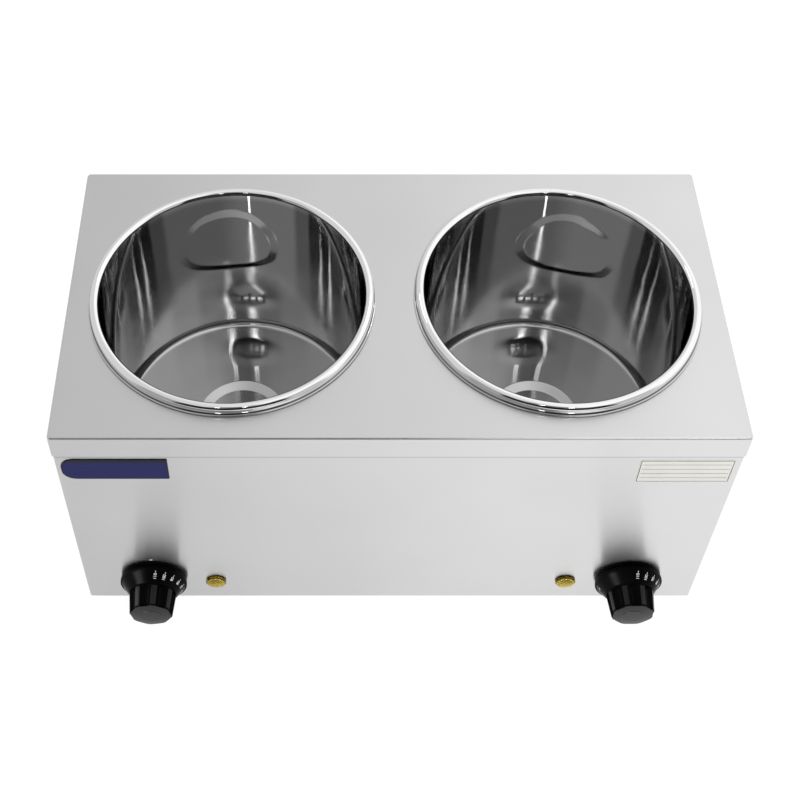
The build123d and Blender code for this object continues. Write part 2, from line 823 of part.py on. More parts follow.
stud_points = list(well_axes.values())
upper_nuts = nuts(clamp_z - m6_nut[1], stud_points, m6_nut, m6_r + play / 2)
lower_nuts = nuts(shield_z - m6_nut[1], stud_points, m6_nut, m6_r + play / 2)
with BuildPart() as heater_nuts:
    add(upper_nuts)
    add(lower_nuts)
heater_nuts.part.label = "heater_nuts"
export_step(heater_nuts.part, "parts/heater_nuts.step")


def fluted(r, first_flute):
    """Grip section in the current sketch: a disc with round flutes around it."""
    Circle(r)
    with PolarLocations(r - flute_cut + flute_r, flutes, start_angle=first_flute):
        Circle(flute_r, mode=Mode.SUBTRACT)


def drive_section(r, turn):
    """Round section with one flat, in the current sketch."""
    Circle(r)
    with PolarLocations(2 * r - flat_depth, 1, start_angle=turn):
        Rectangle(2 * r, 2 * r, mode=Mode.SUBTRACT)


def grip_envelope():
    """Turned outline that rounds the grip's front edge and domes its front face."""
    root = cone_front - flute_start
    sphere_r = (grip_front_r**2 + dome**2) / (2 * dome)
    half = asin(grip_front_r / sphere_r) / 2
    dome_middle = (sphere_r * sin(half), grip_front + dome - sphere_r * (1 - cos(half)))
    face_r = grip_front_r - grip_edge_r
    round_z = grip_front - grip_edge_r
    with BuildLine() as outline:
        Polyline((0, root), (skirt_r, root), (skirt_r, round_z), (grip_front_r, round_z))
        ThreePointArc(
            (grip_front_r, round_z),
            polar(face_r, round_z, grip_edge_r, 45),
            (face_r, grip_front),
        )
        ThreePointArc((face_r, grip_front), dome_middle, (0, grip_front + dome))
        Line((0, grip_front + dome), (0, root))
    return outline.line.edges()


def skirt_outline():
    """Turned outline of the skirt: edge band, narrow ledge and the cone up to the grip."""
    with BuildLine() as outline:
        Polyline(
            (0, skirt_back),
            (skirt_r - skirt_edge, skirt_back),
            (skirt_r, skirt_back + skirt_edge),
            (skirt_r, skirt_front - skirt_edge),
            (skirt_r - skirt_edge, skirt_front),
            (skirt_r - skirt_step, skirt_front),
            (skirt_r - skirt_step, skirt_front + step_rise),
            (grip_base_r, cone_front),
            (0, cone_front),
            close=True,
        )
    return outline.line.edges()


# Controls of each side: thermostat, its screws, spindle, knob, bezel and pilot lamp
for side, sx in sides:
    kx = knob_axes[side]
    px = pilot_axes[side]
    knob_axis = Axis((kx, front_y, knob_axis_z), (0, -1, 0))
    dial_turn = -knob_turn[side]

    with BuildPart() as thermostat:
        with BuildSketch(facing_front(kx, inside_front_y, knob_axis_z)):
            RectangleRounded(plate_w, plate_h, peg_r)
        extrude(amount=-plate_t)
        with BuildSketch(facing_front(kx, inside_front_y + plate_t, knob_axis_z)):
            RectangleRounded(body_w, body_h, peg_r)
        extrude(amount=-body_d)
        with BuildSketch(facing_front(kx, inside_front_y, knob_axis_z)):
            Circle(collar_r)
        extrude(amount=sheet + collar_reach)
        with BuildSketch(facing_front(kx, front_y - collar_reach, knob_axis_z)):
            Circle(spindle_r + spindle_play)
        extrude(amount=-bush_depth, mode=Mode.SUBTRACT)
        with BuildSketch(facing_front(kx, front_y, knob_axis_z)):
            with Locations(*pair(0, 0, screw_spread)):
                Circle(m4_r + play / 2)
        extrude(amount=-thermostat_screw_length - play, mode=Mode.SUBTRACT)
        with BuildSketch(facing_front(kx, body_rear_y, knob_axis_z)):
            with Locations((-tab_pitch, 0), (0, 0), (tab_pitch, 0)):
                Rectangle(tab_t, tab_w)
        extrude(amount=-tab_l)
    thermostat.part.label = f"thermostat_{side}"
    export_step(thermostat.part, f"parts/thermostat_{side}.step")

    with BuildPart() as spindle:
        with BuildSketch(
            facing_front(kx, front_y - collar_reach + bush_depth - spindle_end_gap, knob_axis_z)
        ):
            Circle(spindle_r)
        extrude(amount=skirt_back - flat_lead - collar_reach + bush_depth - spindle_end_gap)
        with BuildSketch(facing_front(kx, front_y - skirt_back + flat_lead, knob_axis_z)):
            drive_section(spindle_r, dial_turn)
        extrude(amount=flat_lead + hub_depth - spindle_end_gap)
    spindle.part.label = f"spindle_{side}"
    export_step(spindle.part, f"parts/spindle_{side}.step")

    first_flute = 90 - ridge_turn - 180 / flutes + dial_turn
    with BuildPart() as knob:
        with BuildSketch(facing_front(kx, front_y - cone_front + flute_start, knob_axis_z)):
            fluted(grip_base_r, first_flute)
        with BuildSketch(facing_front(kx, front_y - grip_front - dome, knob_axis_z)):
            fluted(grip_front_r, first_flute)
        loft(ruled=True)
        with BuildSketch(through_axis(kx, knob_axis_z)):
            make_face(grip_envelope())
        revolve(axis=knob_axis, mode=Mode.INTERSECT)
        with BuildSketch(through_axis(kx, knob_axis_z)):
            make_face(skirt_outline())
        revolve(axis=knob_axis)
        with BuildSketch(facing_front(kx, front_y - skirt_back, knob_axis_z)):
            Circle(skirt_hollow_r)
            Circle(hub_r, mode=Mode.SUBTRACT)
        extrude(amount=skirt_hollow, mode=Mode.SUBTRACT)
        with BuildSketch(facing_front(kx, front_y - skirt_back, knob_axis_z)):
            Circle(grip_hollow_r)
            Circle(hub_r, mode=Mode.SUBTRACT)
        extrude(amount=grip_hollow_end - skirt_back, mode=Mode.SUBTRACT)
        with BuildSketch(facing_front(kx, front_y - skirt_back, knob_axis_z)):
            drive_section(spindle_r + hub_play, dial_turn)
        extrude(amount=hub_depth, mode=Mode.SUBTRACT)
    knob.part.label = f"knob_{side}"
    export_step(knob.part, f"parts/knob_{side}.step")

    with BuildPart() as bezel:
        with BuildSketch(facing_front(kx, front_y, knob_axis_z)):
            Circle(bezel_r)
        extrude(amount=bezel_t)
        chamfer(bezel.edges().sort_by(Axis.Y)[0], bezel_edge)
        with BuildSketch(facing_front(kx, front_y, knob_axis_z)):
            Circle(bezel_inner_r)
        extrude(amount=bezel_t, mode=Mode.SUBTRACT)
        with BuildSketch(facing_front(kx, front_y, knob_axis_z)):
            with Locations(*pair(0, 0, peg_spread)):
                Circle(peg_r)
        extrude(amount=-sheet - peg_reach)
    bezel.part.label = f"knob_bezel_{side}"
    export_step(bezel.part, f"parts/knob_bezel_{side}.step")

    # Pilot lamp: a holder pushed through the panel, its lens and its retaining ring
    with BuildPart() as holder:
        with BuildSketch(facing_front(px, front_y, pilot_axis_z)):
            Circle(lamp_ring_r)
        extrude(amount=lamp_ring_front)
        with BuildSketch(facing_front(px, front_y, pilot_axis_z)):
            Circle(barrel_r)
        extrude(amount=-barrel_length)
        with BuildSketch(facing_front(px, front_y - lens_seat, pilot_axis_z)):
            Circle(lamp_ring_r - lamp_ring_wall)
        extrude(amount=lamp_ring_front, mode=Mode.SUBTRACT)
        with BuildSketch(facing_front(px, front_y - lens_seat, pilot_axis_z)):
            Circle(barrel_bore_r)
        extrude(amount=-(lens_seat + barrel_length - barrel_end), mode=Mode.SUBTRACT)
        with BuildSketch(facing_front(px, front_y + barrel_length, pilot_axis_z)):
            with Locations(*pair(0, 0, lamp_tab_pitch)):
                Rectangle(tab_t, lamp_tab_w)
        extrude(amount=-tab_l)
    holder.part.label = f"pilot_holder_{side}"
    export_step(holder.part, f"parts/pilot_holder_{side}.step")

    lens_r = lamp_ring_r - lamp_ring_wall - lens_play
    sphere_r = (lens_r**2 + lens_dome**2) / (2 * lens_dome)
    half = asin(lens_r / sphere_r) / 2
    with BuildPart() as lens:
        with BuildSketch(through_axis(px, pilot_axis_z)):
            with BuildLine():
                Polyline((0, lens_edge + lens_dome), (0, lens_seat), (lens_r, lens_seat))
                Line((lens_r, lens_seat), (lens_r, lens_edge))
                ThreePointArc(
                    (lens_r, lens_edge),
                    (sphere_r * sin(half), lens_edge + lens_dome - sphere_r * (1 - cos(half))),
                    (0, lens_edge + lens_dome),
                )
            make_face()
        revolve(axis=Axis((px, front_y, pilot_axis_z), (0, -1, 0)))
    lens.part.label = f"pilot_lens_{side}"
    export_step(lens.part, f"parts/pilot_lens_{side}.step")

knob_points = [(x, knob_axis_z) for x in knob_axes.values()]
thermostat_screws = pan_screws(
    facing_front(0, front_y, 0),
    [point for x, z in knob_points for point in pair(x, z, screw_spread)],
    m4_r,
    m4_head_r,
    m4_head_h,
    thermostat_screw_length,
)
thermostat_screws.label = "thermostat_screws"
export_step(thermostat_screws, "parts/thermostat_screws.step")

with BuildPart() as pilot_rings:
    with BuildSketch(facing_front(0, inside_front_y, 0)):
        with Locations(*[(x, pilot_axis_z) for x in pilot_axes.values()]):
            Circle(clip_ring_r)
            Circle(barrel_r + play / 2, mode=Mode.SUBTRACT)
    extrude(amount=-clip_ring_t)
pilot_rings.part.label = "pilot_retaining_rings"
export_step(pilot_rings.part, "parts/pilot_retaining_rings.step")

# Terminal block on the base plate, its screws, and the earth stud beside it
poles = [(sx * pole_pitch * (step + 0.5), pole_axis_z) for _, sx in sides for step in range(3)]
with BuildPart() as terminal_block:
    with BuildSketch(Plane.XY.offset(case_z)):
        with Locations((0, block_y)):
            RectangleRounded(block_w, block_d, m4_r)
    extrude(amount=block_h)
    with BuildSketch(facing_front(0, block_y - block_d / 2, 0)):
        with Locations(*poles):
            Circle(pole_r)
    extrude(amount=-pole_depth, mode=Mode.SUBTRACT)
    with BuildSketch(facing_rear(0, block_y + block_d / 2, 0)):
        with Locations(*poles):
            Circle(pole_r)
    extrude(amount=-pole_depth, mode=Mode.SUBTRACT)
    with BuildSketch(Plane.XY.offset(case_z)):
        with Locations(*block_screw_points):
            Circle(m4_r + play / 2)
    extrude(amount=block_screw_length, mode=Mode.SUBTRACT)
terminal_block.part.label = "terminal_block"
export_step(terminal_block.part, "parts/terminal_block.step")

block_screws = pan_screws(
    facing_down(base_z), below(block_screw_points), m4_r, m4_head_r, m4_head_h, block_screw_length
)
block_screws.label = "block_screws"
export_step(block_screws, "parts/block_screws.step")

earth_point = [(earth_x, block_y)]
earth_low_nut = nuts(case_z + earth_flange_t, earth_point, m5_nut, m5_r + play / 2)
earth_high_nut = nuts(
    case_z + earth_flange_t + m5_nut[1] + 2 * sheet, earth_point, m5_nut, m5_r + play / 2
)
with BuildPart() as earth_stud:
    with Locations((earth_x, block_y, case_z)):
        Cylinder(earth_flange_r, earth_flange_t, align=on_floor)
        Cylinder(m5_r, earth_length, align=on_floor)
earth_stud.part.label = "earth_stud"
export_step(earth_stud.part, "parts/earth_stud.step")

with BuildPart() as earth_nuts:
    add(earth_low_nut)
    add(earth_high_nut)
earth_nuts.part.label = "earth_nuts"
export_step(earth_nuts.part, "parts/earth_nuts.step")

# Cable gland through the rear panel and its locknut inside
with BuildPart() as cable_gland:
    with BuildSketch(facing_rear(gland_x, rear_y, gland_axis_z)):
        Circle(gland_flange_r)
    extrude(amount=gland_flange_t)
    with BuildSketch(facing_rear(gland_x, rear_y + gland_flange_t, gland_axis_z)):
        RegularPolygon(gland_hex[0], 6, major_radius=False)
    extrude(amount=gland_hex[1])
    with BuildSketch(facing_rear(gland_x, rear_y + gland_flange_t + gland_hex[1], gland_axis_z)):
        Circle(gland_cap_r)
    extrude(amount=gland_reach - gland_flange_t - gland_hex[1])
    fillet(cable_gland.edges().sort_by(Axis.Y)[-1], gland_cap_edge)
    with BuildSketch(facing_rear(gland_x, rear_y, gland_axis_z)):
        Circle(gland_thread_r)
    extrude(amount=-gland_inside)
    with BuildSketch(facing_rear(gland_x, rear_y + gland_reach, gland_axis_z)):
        Circle(gland_bore_r)
    extrude(amount=-(gland_reach + gland_inside), mode=Mode.SUBTRACT)
cable_gland.part.label = "cable_gland"
export_step(cable_gland.part, "parts/cable_gland.step")

with BuildPart() as gland_locknut:
    with BuildSketch(facing_rear(gland_x, shell_rear_y, gland_axis_z)):
        RegularPolygon(locknut[0], 6, major_radius=False)
        Circle(gland_thread_r + play / 2, mode=Mode.SUBTRACT)
    extrude(amount=-locknut[1])
gland_locknut.part.label = "gland_locknut"
export_step(gland_locknut.part, "parts/gland_locknut.step")

# Internal wires of each side, from the terminal block to the controls and the element
block_front_y = block_y - block_d / 2
element_y = pins["right"][0].Y
pin_tip_z = pins["right"][0].Z - pin_length
for side, sx in sides:
    kx = abs(knob_axes[side])
    px = abs(pilot_axes[side])
    pole_x = [pole_pitch * (step + 0.5) for step in range(3)]
    inner_pin, outer_pin = (abs(leg.X) for leg in pins[side])
    near_tab, far_tab = cutout_tabs[side]
    supply_y = block_front_y - wire_tail
    lamp_y = element_y - wire_step
    cross_z = pin_tip_z - wire_step - wire_r
    routes = [
        # block to the thermostat's feed tab
        [
            (pole_x[2], block_front_y, pole_axis_z),
            (pole_x[2], supply_y, pole_axis_z),
            (kx + tab_pitch, supply_y, pole_axis_z),
            (kx + tab_pitch, tab_end_y + 2 * wire_tail, pole_axis_z),
            (kx + tab_pitch, tab_end_y + wire_tail, knob_axis_z),
            (kx + tab_pitch, tab_end_y, knob_axis_z),
        ],
        # block to the element's inner pin
        [
            (pole_x[1], block_front_y, pole_axis_z),
            (pole_x[1], element_y, pole_axis_z),
            (inner_pin, element_y, pole_axis_z),
            (inner_pin, element_y, pin_tip_z),
        ],
        # block to the pilot lamp
        [
            (pole_x[0], block_front_y, pole_axis_z),
            (pole_x[0], lamp_y, pole_axis_z),
            (px - lamp_tab_pitch / 2, lamp_y, pole_axis_z),
            (px - lamp_tab_pitch / 2, (lamp_y + lamp_tab_end_y) / 2, pilot_axis_z),
            (px - lamp_tab_pitch / 2, lamp_tab_end_y, pilot_axis_z),
        ],
        # thermostat to the cut-out
        [
            (kx, tab_end_y, knob_axis_z),
            (kx, tab_end_y + wire_tail, knob_axis_z),
            (abs(near_tab.X), near_tab.Y, knob_axis_z),
            (abs(near_tab.X), near_tab.Y, near_tab.Z),
        ],
        # cut-out to the element's outer pin
        [
            (abs(far_tab.X), far_tab.Y, far_tab.Z),
            (abs(far_tab.X), far_tab.Y, cross_z),
            (outer_pin, element_y, cross_z),
            (outer_pin, element_y, pin_tip_z),
        ],
        # pilot lamp to the thermostat
        [
            (px + lamp_tab_pitch / 2, lamp_tab_end_y, pilot_axis_z),
            (px + lamp_tab_pitch / 2, lamp_tab_end_y + wire_tail, pilot_axis_z),
            (kx - tab_pitch, tab_end_y + wire_tail, knob_axis_z),
            (kx - tab_pitch, tab_end_y, knob_axis_z),
        ],
    ]
    leads = [tube([(sx * x, y, z) for x, y, z in route], wire_r, wire_bend_r) for route in routes]
    with BuildPart() as wiring:
        for lead in leads:
            add(lead)
    wiring.part.label = f"wiring_{side}"
    export_step(wiring.part, f"parts/wiring_{side}.step")

# Two blank plates on the front panel
with BuildPart() as badge_plate:
    with BuildSketch(facing_front(badge_x, front_y, deck_z - badge_drop - badge_h / 2)) as badge:
        Rectangle(badge_w, badge_h)
        fillet(badge.vertices().sort_by(Axis.X)[:2], badge_corner_r)
    extrude(amount=badge_t)
badge_plate.part.label = "badge_plate"
export_step(badge_plate.part, "parts/badge_plate.step")

with BuildPart() as label_plate:
    with BuildSketch(facing_front(label_x, front_y, deck_z - label_drop - label_h / 2)):
        RectangleRounded(label_w, label_h, label_corner_r)
    extrude(amount=label_t)
label_plate.part.label = "label_plate"
export_step(label_plate.part, "parts/label_plate.step")
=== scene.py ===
"""Looks of the twin round-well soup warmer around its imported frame.

Metres, +Z up, the control side faces -Y. The origin is at the middle of the overall box, on the
surface that the feet stand on.
"""

import json
import math

import bpy
from mathutils import Matrix, Vector


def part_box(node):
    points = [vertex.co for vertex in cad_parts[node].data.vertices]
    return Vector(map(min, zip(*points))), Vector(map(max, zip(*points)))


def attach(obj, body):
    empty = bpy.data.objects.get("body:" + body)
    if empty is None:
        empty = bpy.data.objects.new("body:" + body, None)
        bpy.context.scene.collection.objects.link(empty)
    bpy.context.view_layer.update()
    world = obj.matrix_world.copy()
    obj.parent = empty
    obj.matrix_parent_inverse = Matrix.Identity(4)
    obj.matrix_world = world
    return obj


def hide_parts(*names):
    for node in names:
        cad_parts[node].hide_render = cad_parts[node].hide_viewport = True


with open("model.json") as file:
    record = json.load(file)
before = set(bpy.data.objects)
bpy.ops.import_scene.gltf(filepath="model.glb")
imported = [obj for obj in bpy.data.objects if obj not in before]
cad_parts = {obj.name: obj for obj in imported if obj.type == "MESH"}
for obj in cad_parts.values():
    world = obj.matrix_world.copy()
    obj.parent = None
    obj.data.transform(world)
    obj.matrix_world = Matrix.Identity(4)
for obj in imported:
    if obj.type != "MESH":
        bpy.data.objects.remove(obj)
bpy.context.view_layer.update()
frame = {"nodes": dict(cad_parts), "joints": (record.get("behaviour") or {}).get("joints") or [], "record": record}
nodes = frame["nodes"]

mm = 0.001
sides = (("left", -1), ("right", 1))

# Places read from the frame
deck_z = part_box("top_deck")[1].z
front_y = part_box("body_wrapper")[0].y
joint_at = {joint["child"]: Vector(joint["pos_m"]) for joint in frame["joints"]}
knob_at = {side: joint_at[f"dial_{side}"] for side, _ in sides}
well_at = {side: sum(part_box(f"well_{side}"), Vector()) / 2 for side, _ in sides}
lamp_at = {side: sum(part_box(f"pilot_lens_{side}"), Vector()) / 2 for side, _ in sides}

# Sizes of the wells, in metres
well_r = 109.5 * mm
well_sheet = 0.9 * mm
well_depth = 176.0 * mm
well_corner_r = 5.5 * mm
ring_outer_r = 40.5 * mm
ring_inner_r = 33.0 * mm
ring_sink = 3.0 * mm
ring_edge = 0.5 * mm
rim_height = 8.98 * mm
bead_r = 3.7 * mm
flare_r = 1.0 * mm
rim_foot = 1.5 * mm
seal_height = 0.6 * mm

# Sizes of the dials, where a back or a front is a distance in front of the panel
skirt_r = 29.0 * mm
skirt_back = 3.8 * mm
skirt_front = 7.0 * mm
skirt_edge = 0.6 * mm
skirt_step = 1.4 * mm
step_rise = 0.5 * mm
cone_front = 16.5 * mm
grip_base_r = 20.5 * mm
grip_front_r = 18.6 * mm
grip_root = 1.0 * mm
grip_front = 36.0 * mm
grip_edge_r = 1.4 * mm
dome = 1.5 * mm
disc_r = 9.5 * mm
disc_top_r = 0.98 * disc_r
disc_fall = 0.2 * mm
hub_bore_r = 3.1 * mm

# Flutes of the grip: number, depth, power of their hollow, and how soon they run out at both ends
lobes = 8
flute_cut = 3.6 * mm
flute_power = 2.2
flute_run_out = 3.2 * mm
flute_run_in = 1.2 * mm

# Ridges between the flutes: their share of the pitch, and the first one's turn in degrees
ridge_share = 0.30
first_ridge = 10.0

# Clockwise turn of each grip's ridges, in degrees
ridge_turn = {"left": 0.0, "right": 12.0}

# Lip of the deck, how far below it the painted shade ends and is full, and the colour kept there
lip_z = 248.0 * mm
joint_low = 3.6 * mm
joint_full = 1.9 * mm
joint_soft = 0.05 * mm
joint_kept = 0.62

# Polished wells: where the haze ends above the floor, and where the rim's painted brighter
# reflection begins and is full from the deck
haze_height = 24.0 * mm
bright_from = -1.0 * mm
bright_full = 6.0 * mm

# Painted shade lines of the rim by height from the foot's top: the fold, the foot's lower edge,
# and the colour kept there
fold_begins = (0.02 * mm, 0.10 * mm)
fold_ends = (0.8 * mm, 1.4 * mm)
low_edge_ends = (-0.6 * mm, -0.3 * mm)
rim_kept = 0.30

# Lamp rings' painted amber glow: distances in front of the panel where still black and where full
ring_dark = 0.6 * mm
ring_lit = 1.2 * mm

# Camera of the photograph
frame_px = 800
focal_px = 1409.2
centre_px = (330.5, 230.0)
camera_place = Vector((-53.06, -722.7, 1182.0)) * mm
camera_elevation = 48.51


# Node helpers

def new_material(name, color, metallic=0.0, roughness=0.5):
    """Principled material with its tree and shader."""
    material = bpy.data.materials.new(name)
    material.use_nodes = True
    tree = material.node_tree
    shader = tree.nodes["Principled BSDF"]
    shader.inputs["Base Color"].default_value = (*color, 1.0)
    shader.inputs["Metallic"].default_value = metallic
    shader.inputs["Roughness"].default_value = roughness
    return material, tree, shader


def add_node(tree, kind, inputs=None, **settings):
    """Node with its settings and the unlinked values of its inputs."""
    made = tree.nodes.new(kind)
    for name, value in settings.items():
        setattr(made, name, value)
    for name, value in (inputs or {}).items():
        made.inputs[name].default_value = value
    return made


def noise(tree, scale, stretch=(1, 1, 1), detail=3.0, rough=0.5):
    """Noise in the object's own metres, stretched by an axis scale."""
    place = add_node(tree, "ShaderNodeTexCoord")
    mapping = add_node(tree, "ShaderNodeMapping", {"Scale": stretch})
    tree.links.new(place.outputs["Object"], mapping.inputs["Vector"])
    made = add_node(
        tree, "ShaderNodeTexNoise", {"Scale": scale, "Detail": detail, "Roughness": rough}
    )
    tree.links.new(mapping.outputs["Vector"], made.inputs["Vector"])
    return made.outputs["Fac"]


def remap(tree, socket, low, high, start=0.3, end=0.7):
    """A value's middle range spread from low to high."""
    made = add_node(
        tree,
        "ShaderNodeMapRange",
        {"From Min": start, "From Max": end, "To Min": low, "To Max": high},
    )
    tree.links.new(socket, made.inputs["Value"])
    return made.outputs["Result"]


def joined_math(tree, operation, first, second):
    """One maths step on two sockets or numbers."""
    made = add_node(tree, "ShaderNodeMath", operation=operation)
    for slot, value in enumerate((first, second)):
        if isinstance(value, (int, float)):
            made.inputs[slot].default_value = value
        else:
            tree.links.new(value, made.inputs[slot])
    return made.outputs[0]


def surface_parts(tree, name):
    """X, Y and Z of the surface's Position or Normal."""
    surface = add_node(tree, "ShaderNodeNewGeometry")
    parts = add_node(tree, "ShaderNodeSeparateXYZ")
    tree.links.new(surface.outputs[name], parts.inputs[0])
    return parts.outputs


def joined_vector(tree, **axes):
    """Vector from the sockets of the named axes, 0 on the others."""
    made = add_node(tree, "ShaderNodeCombineXYZ")
    for axis, socket in axes.items():
        tree.links.new(socket, made.inputs[axis])
    return made.outputs[0]


def darkened(tree, color, share, kept):
    """Colour lowered to the kept part of itself where the share is 1."""
    made = add_node(tree, "ShaderNodeMix", data_type="RGBA", blend_type="MULTIPLY")
    made.inputs[7].default_value = (kept, kept, kept, 1.0)
    tree.links.new(share, made.inputs[0])
    tree.links.new(color, made.inputs[6])
    return made.outputs[2]


def tinted(tree, socket, dark, light):
    """Colour between two others by a value."""
    made = add_node(tree, "ShaderNodeMix", data_type="RGBA")
    made.inputs[6].default_value = (*dark, 1.0)
    made.inputs[7].default_value = (*light, 1.0)
    tree.links.new(socket, made.inputs[0])
    return made.outputs[2]


def bump(tree, shader, socket, distance, strength=1.0, before=None):
    """Bump of a given height in metres, on top of an earlier one if given."""
    made = add_node(tree, "ShaderNodeBump", {"Distance": distance, "Strength": strength})
    tree.links.new(socket, made.inputs["Height"])
    if before:
        tree.links.new(before, made.inputs["Normal"])
    tree.links.new(made.outputs["Normal"], shader.inputs["Normal"])
    return made.outputs["Normal"]


# Materials

# Noise scales along and across the sheet's grain, and the least slope of an end face's normal
grain_along = 4
grain_across = 900
end_face_slope = 0.75


def across_grain(tree):
    """Direction across the sheet's grain: Y on level faces, Z on upright ones."""
    level = joined_math(tree, "ABSOLUTE", surface_parts(tree, "Normal")["Z"], 0.0)
    upright = joined_math(tree, "SUBTRACT", 1.0, level)
    return joined_vector(tree, Y=level, Z=upright)


def end_face_share(tree):
    """1 on faces that look along X, else 0."""
    along = joined_math(tree, "ABSOLUTE", surface_parts(tree, "Normal")["X"], 0.0)
    return joined_math(tree, "GREATER_THAN", along, end_face_slope)


def joint_shade(tree, color):
    """Colour darkened by painted shade in the narrow joint under the deck's lip."""
    height = surface_parts(tree, "Position")["Z"]
    below = remap(tree, height, 0, 1, start=lip_z - joint_low, end=lip_z - joint_full)
    above = remap(tree, height, 1, 0, start=lip_z, end=lip_z + joint_soft)
    return darkened(tree, color, joined_math(tree, "MULTIPLY", below, above), joint_kept)


def satin_steel():
    """Brushed stainless sheet, its grain along X, and along Y on the end faces."""
    material, tree, shader = new_material("stainless_satin", (0.70, 0.70, 0.70), metallic=1.0)
    grain = add_node(tree, "ShaderNodeMix", data_type="FLOAT")
    tree.links.new(end_face_share(tree), grain.inputs[0])
    along_x = (grain_along, grain_across, grain_across)
    along_y = (grain_across, grain_along, grain_across)
    tree.links.new(noise(tree, 1.0, along_x, rough=0.6), grain.inputs[2])
    tree.links.new(noise(tree, 1.0, along_y, rough=0.6), grain.inputs[3])
    fine = grain.outputs[0]
    clouds = noise(tree, 7.0, detail=2.0)
    tint = tinted(tree, remap(tree, clouds, 0, 1), (0.675, 0.675, 0.675), (0.705, 0.705, 0.705))
    # Painted shade under the deck's lip darkens the colour
    tree.links.new(joint_shade(tree, tint), shader.inputs["Base Color"])
    tree.links.new(remap(tree, fine, 0.285, 0.305), shader.inputs["Roughness"])
    bump(tree, shader, fine, 0.0016 * mm)
    shader.inputs["Anisotropic"].default_value = 0.92
    tree.links.new(across_grain(tree), shader.inputs["Tangent"])
    return material


def meridian(tree):
    """Direction across the spinning rings of a well, with the radius and the height there."""
    parts = surface_parts(tree, "Position")
    side = joined_math(tree, "SIGN", parts["X"], 0.0)
    middle = joined_math(tree, "MULTIPLY", side, well_at["right"].x)
    across = joined_math(tree, "SUBTRACT", parts["X"], middle)
    deep = joined_math(tree, "SUBTRACT", parts["Y"], well_at["right"].y)
    outwards = joined_vector(tree, X=across, Y=deep)
    reach = add_node(tree, "ShaderNodeVectorMath", operation="LENGTH")
    tree.links.new(outwards, reach.inputs[0])
    radial = add_node(tree, "ShaderNodeVectorMath", operation="NORMALIZE")
    tree.links.new(outwards, radial.inputs[0])
    total = add_node(tree, "ShaderNodeVectorMath", operation="ADD")
    total.inputs[1].default_value = (0, 0, 1)
    tree.links.new(radial.outputs[0], total.inputs[0])
    return total.outputs[0], reach.outputs["Value"], parts["Z"]


def rim_shade(tree, reach, height):
    """1 where shade is painted: in the fold between the rim and its foot and along the foot's lower edge, else 0.
    """
    outside = joined_math(tree, "GREATER_THAN", reach, well_r + bead_r)
    foot_z = deck_z + seal_height + well_sheet
    above = joined_math(tree, "SUBTRACT", height, foot_z)
    begun = remap(tree, above, 0, 1, *fold_begins)
    not_ended = remap(tree, above, 1, 0, *fold_ends)
    fold = joined_math(tree, "MULTIPLY", begun, not_ended)
    low_edge = remap(tree, above, 1, 0, *low_edge_ends)
    return joined_math(tree, "MULTIPLY", outside, joined_math(tree, "MAXIMUM", fold, low_edge))


def polished_steel():
    """Mirror-polished spun stainless, hazier on the floor, with faint waves and rings."""
    material, tree, shader = new_material("polished_steel", (0.53, 0.53, 0.53), metallic=1.0)
    tangent, reach, height = meridian(tree)
    floor_z = deck_z - well_depth
    haze = remap(tree, height, 0.14, 0.022, start=floor_z, end=floor_z + haze_height)
    tree.links.new(haze, shader.inputs["Roughness"])
    # The rim's colour is raised above the walls' as a painted brighter reflection
    rim = remap(tree, height, 0, 1, start=deck_z + bright_from, end=deck_z + bright_full)
    tint = tinted(tree, rim, (0.48, 0.48, 0.48), (0.85, 0.85, 0.85))
    # Painted shade darkens the rim's fold and its foot's lower edge
    shaded = darkened(tree, tint, rim_shade(tree, reach, height), rim_kept)
    tree.links.new(shaded, shader.inputs["Base Color"])
    rings = noise(tree, 1.0, (12, 12, 420), detail=2.0)
    waves = noise(tree, 14.0, detail=1.5)
    first = bump(tree, shader, waves, 0.4 * mm)
    bump(tree, shader, rings, 0.003 * mm, before=first)
    shader.inputs["Anisotropic"].default_value = 0.35
    tree.links.new(tangent, shader.inputs["Tangent"])
    return material


def pressed_steel():
    """Steel of the pressed level mark, a little dull, darker than the wall with a mottled tone."""
    material, tree, shader = new_material("pressed_steel", (0.24, 0.24, 0.24), metallic=1.0)
    mottle = noise(tree, 300.0, detail=2.0)
    tint = tinted(tree, mottle, (0.18, 0.18, 0.18), (0.28, 0.28, 0.28))
    tree.links.new(tint, shader.inputs["Base Color"])
    tree.links.new(remap(tree, mottle, 0.07, 0.13), shader.inputs["Roughness"])
    return material


def plated_steel(name, color, rough):
    """Small steel parts with a slightly uneven finish."""
    material, tree, shader = new_material(name, color, metallic=1.0)
    mottle = noise(tree, 180.0, detail=3.0)
    tree.links.new(remap(tree, mottle, rough - 0.06, rough + 0.08), shader.inputs["Roughness"])
    dark = tuple(channel * 0.88 for channel in color)
    tree.links.new(tinted(tree, mottle, dark, color), shader.inputs["Base Color"])
    bump(tree, shader, mottle, 0.02 * mm)
    return material


def moulded(name, color, rough, texture=600.0, height=0.02 * mm, gloss=0.5):
    """Moulded plastic or rubber: fine surface texture and a little variation in gloss."""
    material, tree, shader = new_material(name, color)
    grain = noise(tree, texture, detail=2.0)
    drift = noise(tree, 25.0, detail=2.0)
    light = tuple(min(1.0, channel * 1.12 + 0.002) for channel in color)
    tree.links.new(tinted(tree, remap(tree, drift, 0, 1), color, light), shader.inputs["Base Color"])
    tree.links.new(remap(tree, drift, rough - 0.04, rough + 0.05), shader.inputs["Roughness"])
    bump(tree, shader, grain, height)
    shader.inputs["Specular IOR Level"].default_value = gloss
    return material


